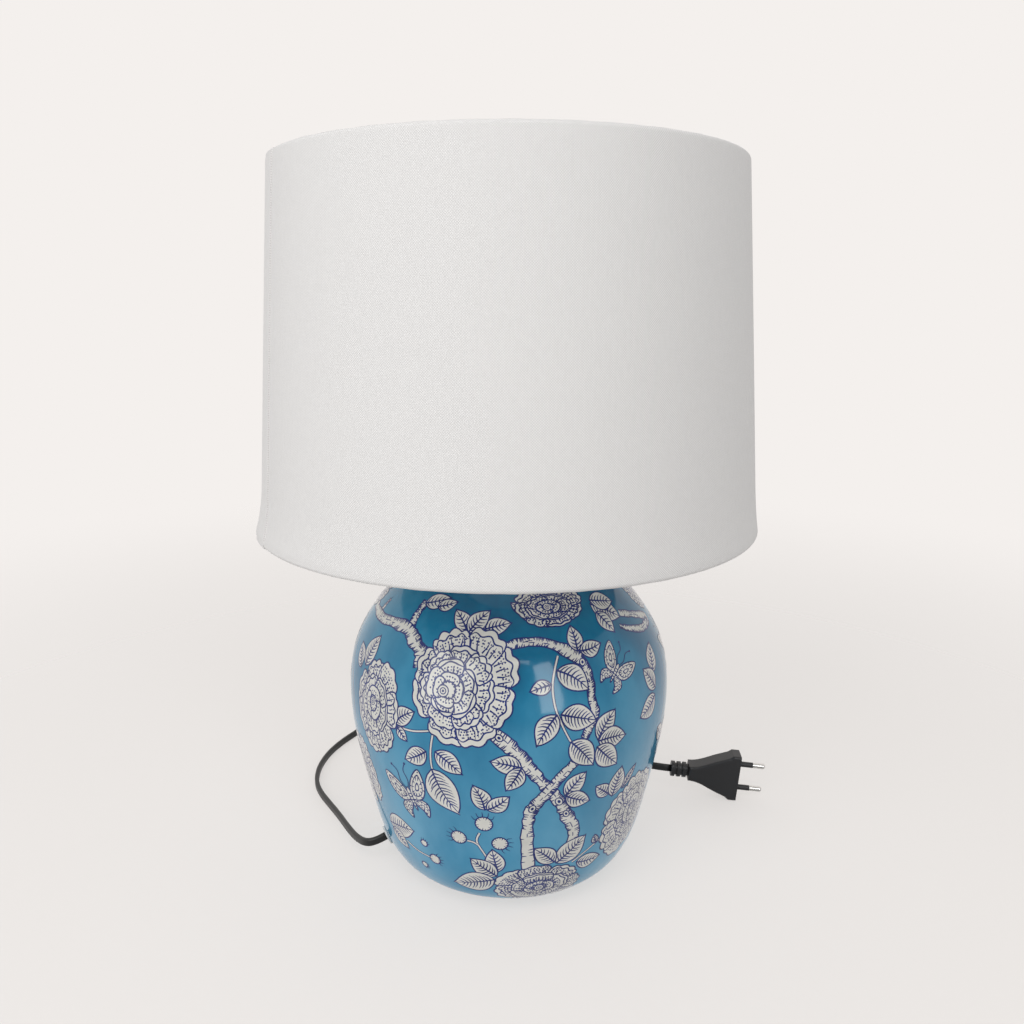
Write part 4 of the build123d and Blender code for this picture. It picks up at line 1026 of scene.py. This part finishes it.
# %% branches
branches = [
    (
        [
            (-43, 206.3), (-43.7, 211.5), (-43.2, 218.8), (-42.4, 224.4),
        ],
        [3.2, 2.2, 2.6],
        (),
    ),
    (
        [
            (-70, 204.3), (-69.7, 210.5), (-68.7, 214.9),
        ],
        [1.8, 1.2],
        (),
    ),
    (
        [
            (-81.2, 204.8), (-65.2, 203.4), (-52.2, 205.7), (-43.5, 204.8), (-37.6, 199),
            (-33.7, 195.1), (-32.5, 187),
        ],
        [2.2, 3.2, 3.8, 3.4, 3.0],
        (),
    ),
    (
        [
            (55.4, 211), (65.2, 205.5), (75.9, 198), (72.5, 195.6), (64.6, 196), (56, 200.5),
            (51.2, 204.2),
        ],
        [2.2, 2.6, 1.4],
        (),
    ),
    (
        [
            (-8, 202.5), (-1.3, 203.8), (4.4, 205.7), (12.6, 205.6), (19.9, 201), (26, 193.6),
            (27.4, 188.4), (28.3, 179.8), (27.7, 171.4), (28.4, 161.9), (25.2, 152.1),
            (24.5, 149.4),
        ],
        [2.6, 2.5, 2.9, 2.4, 2.6, 2.2],
        ((0.5, 1.7),),
    ),
    (
        [
            (-5, 157), (0.8, 148.3), (5.1, 138.8), (9.2, 129.3), (12.5, 121.8), (17.3, 109.6),
            (20.1, 99.9), (23.7, 86), (22.6, 66),
        ],
        [3.4, 3.9, 4.0, 3.3, 3.8, 4.0, 3.6, 3.2],
        ((0.06, 1.8), (0.6, 2.1), (0.74, 1.8)),
    ),
    (
        [
            (22.8, 138.5), (16.6, 127.6), (12.6, 118.5), (7.8, 108.2), (6.6, 98.2), (6.5, 85.1),
            (7.6, 58),
        ],
        [3.0, 3.1, 3.4, 3.8, 3.2, 3.6, 3.3],
        ((0.5, 1.9),),
    ),
]
print(len(branches), "branches")

# %% leaves
leaves = [
    ((-60.2, 174.4), (-57.8, 194.3)), ((-63.6, 171), (-69.8, 183.3)),
    ((-39.2, 152.1), (-31.5, 161.8)), ((-38.3, 150.2), (-34.1, 143.3)),
    ((-16.8, 211.2), (-24.4, 223)), ((-10.6, 212.8), (1.1, 217.4)),
    ((-16.2, 210.7), (-8.5, 224.5)), ((-42.3, 223), (-29.9, 229.9)),
    ((-34.6, 222.9), (-25.3, 228.1)), ((7.6, 223.9), (1.2, 229.8)), ((41.2, 222.7), (54.2, 209.5)),
    ((42.1, 217), (46.5, 202.7)), ((42.2, 225.1), (55.6, 219.5)), ((26.2, 197.9), (26.3, 212.6)),
    ((27.2, 197.6), (36.9, 199.3)), ((16.8, 189.1), (27, 176.4)), ((14.3, 181.8), (7.1, 178.8)),
    ((16.6, 165), (28.6, 158.4)), ((15.3, 165.2), (8.9, 148.8)), ((19.7, 148.7), (27.8, 131.9)),
    ((60.1, 170.1), (64.4, 186.3)), ((59.7, 160.3), (53.6, 175.2)), ((59, 157), (48.8, 148.9)),
    ((29.3, 146.2), (36.2, 161.1)), ((29.5, 145.5), (40.7, 143.9)), ((29, 142.1), (37.6, 127.2)),
    ((-26.8, 140.3), (-35.2, 131.2)), ((-23.5, 141.6), (-14.7, 130.4)),
    ((-25.1, 129.9), (-16.8, 103)), ((-53.2, 72.8), (-38.2, 77.8)), ((-52, 70), (-43.7, 59.7)),
    ((-7.7, 107.5), (-11.3, 123.4)), ((-7, 107.6), (0.1, 117.2)), ((-4, 60.3), (-5.9, 77.6)),
    ((-4.5, 56.8), (-14.1, 68.8)), ((-5.4, 53.6), (-22.4, 45.3)), ((4.1, 136), (-5.4, 139.6)),
    ((4.1, 136), (-0.6, 121.6)), ((18.6, 114.5), (25.3, 127.9)), ((19, 114.3), (28, 107.3)),
    ((36.3, 106.7), (30.1, 115.5)), ((38.1, 103.8), (40.5, 122.8)), ((42.7, 106), (48.5, 119.2)),
    ((27.1, 60.4), (38.5, 58.6)), ((18.2, 64), (28.7, 80.7)), ((17.4, 65.2), (9.4, 77.8)),
    ((35, 71), (33.5, 78)), ((37, 73), (42, 71)), ((70, 122), (63, 132)), ((70, 122), (78, 130)),
    ((71, 120), (70, 108)), ((86, 66), (79, 80)), ((86, 66), (94, 76)), ((-88, 148), (-97, 160)),
    ((-88, 148), (-80, 158)),
]
leaf_width, slim_leaf_width = 0.66, 0.35
slim_leaves = (42,)
print(len(leaves), "leaves")

# %% flowers, butterflies and berries
peonies = [
    ((-66, 103), 42, 50, (-0.1, 0.0), 4, 30),
    ((88, 214), 40, 30, (0.0, 0.1), 6, 0),
    ((-50, 155), 45, 59, (-0.1, 0.1), 3, 20),
    ((20.2, 226), 44, 27, (-0.1, 0.0), 5, 40),
    ((52, 81), 52, 62, (0.15, 0.1), 8, 10),
    ((12.5, 46), 56, 38, (0.0, -0.1), 9, 60),
    ((-15.6, 180.3), 64, 68, (-0.32, -0.1), 11, 0),
]
butterflies = [
    ((88, 174), 26, 30),
    ((39, 181), 24, -50),
    ((-34.9, 104.5), 30, 20),
]
berries = [
    ((-8.3, 97.2), 5.0, 95),
    ((-17.8, 84.6), 4.6, 160),
    ((-3, 82.9), 4.6, -20),
    ((-29.7, 61.2), 3.6, 10),
    ((-33.6, 71.4), 2.4, 60),
    ((-36.2, 52.3), 2.2, -30),
]
print(len(peonies), "peonies,", len(butterflies), "butterflies and", len(berries), "berries")

# %% [markdown]
# The order is the painter's: stems and branches first, then leaves, butterflies and berries, and the
# flowers last, since they cover the ends of their branches.


# %% all motifs in painting order
def painted():
    """All motifs of the front half, in painting order."""
    motifs = [laid(stem(line_of(places)), places[0]) for places in stems]
    for index, (places, halves, knots) in enumerate(branches):
        motifs.append(laid(branch(line_of(places), halves, knots, index), places[0]))
    for index, (base, tip) in enumerate(leaves):
        wide = slim_leaf_width if index in slim_leaves else leaf_width
        motifs.append(leaf_between(base, tip, index, wide))
    motifs += [laid(butterfly(size), place, tilt) for place, size, tilt in butterflies]
    motifs += [laid(berry(radius, facing), place) for place, radius, facing in berries]
    for place, width, height, core, seed, spin in peonies:
        motifs.append(laid(peony(width, height, complex(*core), seed, spin), place))
    return motifs


motifs = painted()
print(len(motifs), "motifs,", sum(len(shapes) for shapes in motifs), "outlines")

# %% [markdown]
# ## The paint on the wall
# The outlines of a motif overlap, and stacked sheets would flicker, so they are cut into triangles. A
# triangle takes the colour of the last outline that it lies in. Points of a grid keep the triangles
# small, so that the paint follows the round wall.


# %% cutting a motif
grid = 2.7
angle_scale = 100
half_turn = angle_scale * math.pi


def cut(shapes):
    """A motif as points (scaled angle, length up the wall), triangles, their colours and its box."""
    spots, rings = [], []
    for _, outline in shapes:
        ring = list(range(len(spots), len(spots) + len(outline)))
        around = zip(outline, outline[1:] + outline[:1])
        turning = sum(a[0] * b[1] - a[1] * b[0] for a, b in around)
        rings.append(ring if turning > 0 else ring[::-1])
        spots += [Vector((angle * angle_scale, up)) for angle, up in outline]
    left, right = min(p.x for p in spots), max(p.x for p in spots)
    low, high = min(p.y for p in spots), max(p.y for p in spots)
    for i in range(int((right - left) / grid)):
        for k in range(int((high - low) / grid)):
            spots.append(Vector((left + grid * (i + 0.5 + 0.5 * (k % 2)), low + grid * (k + 0.5))))
    points, _, triangles, _, _, owners = geometry.delaunay_2d_cdt(spots, [], rings, 1, 1e-4)
    kept, colors = [], []
    for triangle, owner in zip(triangles, owners):
        if owner:
            kept.append(triangle)
            colors.append(shapes[max(owner)][0])
    return points, kept, colors, (left, right, low, high)


# %% [markdown]
# The paint lies a few hundredths of a millimetre over the glaze, as real enamel does, and each motif a
# little higher than those it covers. Its shading follows the wall's own direction at every point, so
# that the gloss runs on from the glaze without facets.


# %% a place over the wall
def over_wall(spot, lift, turned):
    """The place over the wall of a flat point, and the way the wall faces there."""
    up = min(max(spot.y, 0.5), climbs[-1] - 0.5)
    place = min(bisect.bisect(climbs, up) - 1, len(wall) - 2)
    (r0, a0, z0), (r1, a1, z1) = wall[place : place + 2]
    share = (up - a0) / (a1 - a0)
    below, above = wall[max(place - 2, 0)], wall[min(place + 3, len(wall) - 1)]
    out, rise = above[2] - below[2], below[0] - above[0]
    size = math.hypot(out, rise)
    out, rise = out / size, rise / size
    radius = r0 + (r1 - r0) * share + lift * out
    height = z0 + (z1 - z0) * share + lift * rise
    angle = spot.x / angle_scale + turned
    side = (math.sin(angle), -math.cos(angle))
    over = (radius * side[0] * mm, radius * side[1] * mm, height * mm)
    return over, (out * side[0], out * side[1], rise)


print("the front of the belly is at", over_wall(Vector((0, 150)), 0, 0)[0])


# %% which motifs cross
def crosses(one, other):
    """Whether two motifs' boxes overlap, on the same half or across the halves' border."""
    if one[2] >= other[3] or other[2] >= one[3]:
        return False
    return any(one[0] < other[1] + shift and other[0] + shift < one[1] for shift in (-half_turn, 0, half_turn))


# %% cut and stacked motifs
cuts, boxes = [], []
for shapes in motifs:
    points, triangles, tints, box = cut(shapes)
    layer = 1 + max([below for other, below in boxes if crosses(box, other)], default=0)
    boxes.append((box, layer))
    cuts.append((points, triangles, tints, layer))
print("the highest motif lies on layer", max(layer for _, layer in boxes))

# %% [markdown]
# The picture shows only the front of the jar. The back is painted with the same motifs, turned half
# round, which is what such a repeating pattern does. Front and back are a piece each.

# %% the paint
paint_lift, layer_lift = 0.04, 0.015
for name, turned in (("jar_paint_front", 0), ("jar_paint_back", math.pi)):
    points, faces, colors, facing = [], [], [], []
    for spots, triangles, tints, layer in cuts:
        start = len(points)
        for spot in spots:
            place, way = over_wall(spot, paint_lift + layer_lift * layer, turned)
            points.append(place)
            facing.append(way)
        faces += [tuple(start + index for index in triangle) for triangle in triangles]
        colors += tints
    paint = make_piece(name, points, faces, [ink_blue, slip_white], "base")
    paint.data.polygons.foreach_set("material_index", colors)
    paint.data.normals_split_custom_set_from_vertices(facing)
    print(name, len(cuts), "motifs,", len(faces), "triangles")

# %% [markdown]
# ## The shade
# The cover is one strip of woven cloth, stretched over the liner. At each rim it is rolled over the
# wire and turned in behind the liner. Its ends overlap by six degrees at the left and are glued down.
# It bells out a little at the bottom rim, most of all at the left. A cloth simulation would find such a
# shape too, but not the same one each time, so the cloth's line is worked out at every angle.

# %% shade sizes
bottom_radius, bottom_height = 150.0, 226.0
shade_height = 209.0
shade_slope = 15.0 / shade_height
hem_radius = 2.3
seam = -68.0
cloth_thickness = 0.7
low_wire = bottom_height + hem_radius
high_wire = bottom_height + shade_height - hem_radius
print("the wires lie at", low_wire, "and", high_wire, "mm")


# %% how the cloth hangs
def around(azimuth, radius, height):
    """A point at an azimuth from the front, towards the right, in metres."""
    turn = math.radians(azimuth)
    return Vector((radius * math.sin(turn), -radius * math.cos(turn), height)) * mm


def near(azimuth, other, width):
    """1 at another azimuth, fading out round it."""
    return math.exp(-(((azimuth - other + 180) % 360 - 180) / width) ** 2)


def belling(azimuth, height):
    """How far the cloth stands out of its cone near the bottom rim."""
    near_rim = max(0.0, 1 - (height - low_wire) / 26) ** 2
    return near_rim * (0.6 + 2.3 * near(azimuth, -78, 34) + 0.5 * near(azimuth, 95, 40))


def cloth_radius(azimuth, height):
    """The cloth's outer radius, with a little slack between the wires."""
    up = height - bottom_height
    slack = 0.12 * math.sin(math.radians(azimuth * 5 + 40)) * math.sin(math.pi * up / shade_height)
    return bottom_radius - shade_slope * up + belling(azimuth, height) + slack


print("the cloth bells out by", round(belling(-78, low_wire), 1), "mm at the left")

# %% [markdown]
# Where the cloth goes round a wire it puckers a little between the glue's dabs. Two fine waves of
# different pitch make the puckers uneven.

# %% the cloth's section
turn_in = 1.9
turn_in_rises = (10.0, 7.4, 4.8, 2.3)
cloth_rows = 44


def cover_section(azimuth):
    """The cloth's line at an azimuth, from behind the liner at the bottom to behind it at the top."""
    fine = math.sin(math.radians(azimuth * 37))
    finer = math.sin(math.radians(azimuth * 61 + 20))
    pucker = 1 + 0.025 * fine + 0.018 * finer
    low_middle = cloth_radius(azimuth, low_wire) - hem_radius
    high_middle = cloth_radius(azimuth, high_wire) - hem_radius
    line = [(low_middle - turn_in - shade_slope * rise, low_wire + rise) for rise in turn_in_rises]
    for turn in range(195, 360, 15):
        reach = hem_radius * (pucker if turn < 300 else 1)
        out, up = math.cos(math.radians(turn)), math.sin(math.radians(turn))
        line.append((low_middle + reach * out, low_wire + reach * up))
    for row in range(cloth_rows + 1):
        height = low_wire + (high_wire - low_wire) * row / cloth_rows
        line.append((cloth_radius(azimuth, height), height))
    for turn in range(15, 180, 15):
        reach = hem_radius * (pucker if turn > 60 else 1)
        out, up = math.cos(math.radians(turn)), math.sin(math.radians(turn))
        line.append((high_middle + reach * out, high_wire + reach * up))
    for rise in reversed(turn_in_rises):
        line.append((high_middle - turn_in + shade_slope * rise, high_wire - rise))
    return line


section_size = len(cover_section(0))
print("the cloth's section has", section_size, "points")

# %% [markdown]
# The cloth is a plain weave of pale linen yarn. Two sets of waves, one across the other on the flat
# cloth, make the yarns, and where they differ one yarn lies on top. A fine noise adds the slubs, the
# thicker spots of the yarn. A little sheen stands for the loose fibres.

# %% woven threads
thread_pitch = 1.25
waves_per_unit = 0.314
cloth = new_finish("shade_cloth", (0.77, 0.775, 0.755), 0.85)
tree = cloth.node_tree
surface = tree.nodes["Principled BSDF"]
surface.inputs["Sheen Weight"].default_value = 0.15
surface.inputs["Sheen Roughness"].default_value = 0.5
place = tree.nodes.new("ShaderNodeTexCoord")
threads = []
for direction in ("X", "Y"):
    wave = tree.nodes.new("ShaderNodeTexWave")
    wave.bands_direction = direction
    wave.inputs["Scale"].default_value = waves_per_unit / thread_pitch
    wave.inputs["Distortion"].default_value = 0.25
    wave.inputs["Detail Scale"].default_value = 1.5
    tree.links.new(place.outputs["UV"], wave.inputs["Vector"])
    threads.append(wave.outputs["Fac"])
print("a thread every", thread_pitch, "mm")

# %% over and under, and slubs
slub_share = 0.35
weave = tree.nodes.new("ShaderNodeMath")
weave.operation = "SUBTRACT"
tree.links.new(threads[0], weave.inputs[0])
tree.links.new(threads[1], weave.inputs[1])
crossed = tree.nodes.new("ShaderNodeMath")
crossed.operation = "ABSOLUTE"
tree.links.new(weave.outputs["Value"], crossed.inputs[0])
slubs = noise(cloth, 700, 3, (1, 1, 0.35))
mixed = tree.nodes.new("ShaderNodeMath")
mixed.operation = "MULTIPLY_ADD"
mixed.inputs[1].default_value = slub_share
tree.links.new(slubs, mixed.inputs[0])
tree.links.new(crossed.outputs["Value"], mixed.inputs[2])
yarn_tones = [(0.15, (0.69, 0.675, 0.665)), (0.95, (0.85, 0.838, 0.828))]
color_from(cloth, ramp(cloth, mixed.outputs["Value"], yarn_tones))
bump_from(cloth, mixed.outputs["Value"], 0.5, 0.00018)
print("slubs make up", slub_share, "of the weave's level")

# %% [markdown]
# The cover starts at the seam and goes once round and six degrees on. Over the last degrees it is lifted
# by its own thickness, so that it lies on its start, and its free edge shows as a fine line.

# %% the cover's points
columns = 366
sweep, lap_from, lap_rise = 366.0, 358, 1.5
middle_radius = 145
points, faces, flat_places = [], [], []
for column in range(columns + 1):
    azimuth = seam + sweep * column / columns
    lift = cloth_thickness * max(0.0, min(1.0, (azimuth - seam - lap_from) / lap_rise))
    length, last = 0.0, None
    for radius, height in cover_section(azimuth):
        length += math.dist(last, (radius, height)) if last else 0.0
        last = (radius, height)
        inside = radius < cloth_radius(azimuth, height) - hem_radius
        points.append(around(azimuth, radius + (-lift if inside else lift), height))
        flat_places.append((math.radians(azimuth) * middle_radius, length))
for column in range(columns):
    for row in range(section_size - 1):
        a = column * section_size + row
        faces.append((a, a + section_size, a + section_size + 1, a + 1))
print("cover", len(faces), "faces, cut", round(length, 1), "mm high")

# %% [markdown]
# The flat cloth's own places go into a UV map, so that the weave runs true round the shade. A Solidify
# modifier gives the cloth its thickness inward, and its result becomes the mesh.

# %% shade cover
cover = make_piece("shade_cover", points, faces, [cloth], "shade")
uv = cover.data.uv_layers.new(name="flat")
for loop in cover.data.loops:
    uv.data[loop.index].uv = flat_places[loop.vertex_index]
solid = cover.modifiers.new("thickness", "SOLIDIFY")
solid.thickness = cloth_thickness * mm
solid.offset = -1
thick = bpy.data.meshes.new_from_object(cover.evaluated_get(bpy.context.evaluated_depsgraph_get()))
cover.modifiers.clear()
cover.data = thick
thick.set_sharp_from_angle(angle=math.radians(50))
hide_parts("shade_fabric", "bottom_hem", "top_hem")
print("cover with its thickness:", len(thick.polygons), "faces")

# %% [markdown]
# ## The floor
# The lamp stands on white paper that has no edge in the picture. A large floor would show a horizon, so
# this one fades out into the white background the farther it is from the lamp, and keeps the shadow.

# %% floor finish
fade_from, fade_to, seen_through_share = 0.3, 1.2, 0.64
floor_finish = new_finish("floor_paper", (0.87, 0.835, 0.81), 0.9)
tree = floor_finish.node_tree
place = tree.nodes.new("ShaderNodeTexCoord")
far = tree.nodes.new("ShaderNodeVectorMath")
far.operation = "LENGTH"
tree.links.new(place.outputs["Object"], far.inputs[0])
fade = tree.nodes.new("ShaderNodeMapRange")
fade.interpolation_type = "SMOOTHSTEP"
fade.inputs["From Min"].default_value = fade_from
fade.inputs["From Max"].default_value = fade_to
fade.inputs["To Min"].default_value = seen_through_share
tree.links.new(far.outputs["Value"], fade.inputs["Value"])
seen_through = tree.nodes.new("ShaderNodeBsdfTransparent")
blend = tree.nodes.new("ShaderNodeMixShader")
tree.links.new(fade.outputs["Result"], blend.inputs["Fac"])
tree.links.new(tree.nodes["Principled BSDF"].outputs["BSDF"], blend.inputs[1])
tree.links.new(seen_through.outputs["BSDF"], blend.inputs[2])
tree.links.new(blend.outputs["Shader"], tree.nodes["Material Output"].inputs["Surface"])
print("the floor fades out from", fade_from, "to", fade_to, "m")

# %% floor
half = 1.5
floor = bpy.data.meshes.new("floor")
floor.from_pydata([(-half, -half, 0), (half, -half, 0), (half, half, 0), (-half, half, 0)], [], [(0, 1, 2, 3)])
floor.materials.append(floor_finish)
floor_piece = bpy.data.objects.new("floor", floor)
bpy.context.scene.collection.objects.link(floor_piece)
floor_piece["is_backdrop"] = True
print("floor", 2 * half, "m wide")

# %% [markdown]
# ## The light
# A room lights the lamp softly from all sides, more from behind than from the camera's side. The camera
# sees plain white instead of that room, and so do the glass bulb and the gloss of the jar's sides. The
# white has the strength 1, so it adds no light of its own to what it stands behind.

# %% the room's light
room_strength = 0.74
world = bpy.data.worlds.new("sky")
world.use_nodes = True
bpy.context.scene.world = world
tree = world.node_tree
white = tree.nodes["Background"]
white.inputs["Color"].default_value = (0.905, 0.871, 0.847, 1)
room = tree.nodes.new("ShaderNodeBackground")
room.inputs["Strength"].default_value = room_strength
way = tree.nodes.new("ShaderNodeTexCoord")
split = tree.nodes.new("ShaderNodeSeparateXYZ")
tree.links.new(way.outputs["Generated"], split.inputs[0])
shades = tree.nodes.new("ShaderNodeValToRGB")
shades.color_ramp.elements[0].position = 0.0
shades.color_ramp.elements[0].color = (0.3, 0.3, 0.3, 1)
shades.color_ramp.elements[1].position = 1.0
shades.color_ramp.elements[1].color = (0.98, 0.97, 0.96, 1)
middle = shades.color_ramp.elements.new(0.5)
middle.color = (0.66, 0.655, 0.65, 1)
back = tree.nodes.new("ShaderNodeMapRange")
back.inputs["From Min"].default_value = -1.0
tree.links.new(split.outputs["Y"], back.inputs["Value"])
tree.links.new(back.outputs["Result"], shades.inputs["Fac"])
tree.links.new(shades.outputs["Color"], room.inputs["Color"])
print("the room's strength is", room_strength)

# %% where the white shows
aside = tree.nodes.new("ShaderNodeMapRange")
aside.inputs["From Min"].default_value = -0.5
aside.inputs["From Max"].default_value = 0.3
tree.links.new(split.outputs["Y"], aside.inputs["Value"])
path = tree.nodes.new("ShaderNodeLightPath")


def joined(operation, one, other):
    """Two sockets joined by a math node of the sky's own, with the given operation."""
    node = tree.nodes.new("ShaderNodeMath")
    node.operation = operation
    tree.links.new(one, node.inputs[0])
    tree.links.new(other, node.inputs[1])
    return node.outputs["Value"]


in_gloss = joined("MULTIPLY", path.outputs["Is Glossy Ray"], aside.outputs["Result"])
seen = joined("MAXIMUM", path.outputs["Is Camera Ray"], path.outputs["Is Transmission Ray"])
mix = tree.nodes.new("ShaderNodeMixShader")
tree.links.new(joined("MAXIMUM", seen, in_gloss), mix.inputs["Fac"])
tree.links.new(room.outputs["Background"], mix.inputs[1])
tree.links.new(white.outputs["Background"], mix.inputs[2])
tree.links.new(mix.outputs["Shader"], tree.nodes["World Output"].inputs["Surface"])
print("the sky has", len(tree.nodes), "nodes")

# %% [markdown]
# Three soft lamps stand in for the windows that the glaze shows: a broad one at the front left, a narrow
# one at the front right and one high up. They are kept weak, so that the pale cloth doesn't burn out.


# %% soft lamps
def softbox(name, place, aim, width, height, power):
    """A rectangular lamp at a place, turned to what it aims at."""
    lamp_data = bpy.data.lights.new(name, "AREA")
    lamp_data.shape = "RECTANGLE"
    lamp_data.size, lamp_data.size_y = width, height
    lamp_data.energy = power
    lamp = bpy.data.objects.new(name, lamp_data)
    lamp.location = place
    lamp.rotation_euler = (Vector(aim) - Vector(place)).to_track_quat("-Z", "Y").to_euler()
    bpy.context.scene.collection.objects.link(lamp)
    return lamp


softbox("key", (-1.11, -1.15, 0.76), (0, 0, 0.5), 1.0, 1.4, 12)
softbox("fill", (0.75, -1.41, 0.72), (0, 0, 0.5), 0.42, 1.3, 6.5)
softbox("high", (-0.1, -1.2, 1.75), (0, 0, 0.25), 1.2, 0.8, 8)
bpy.context.scene.view_settings.view_transform = "Standard"
print(len(bpy.data.lights), "lamps")

# %% [markdown]
# ## Size and finish
# The size after dressing is printed, as the frame's size was at the start.

# %% size and finish
made_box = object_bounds()
plain_box = [[list(corner) for corner in box] for box in (cad_box, made_box)]
print("visual box", plain_box[1])
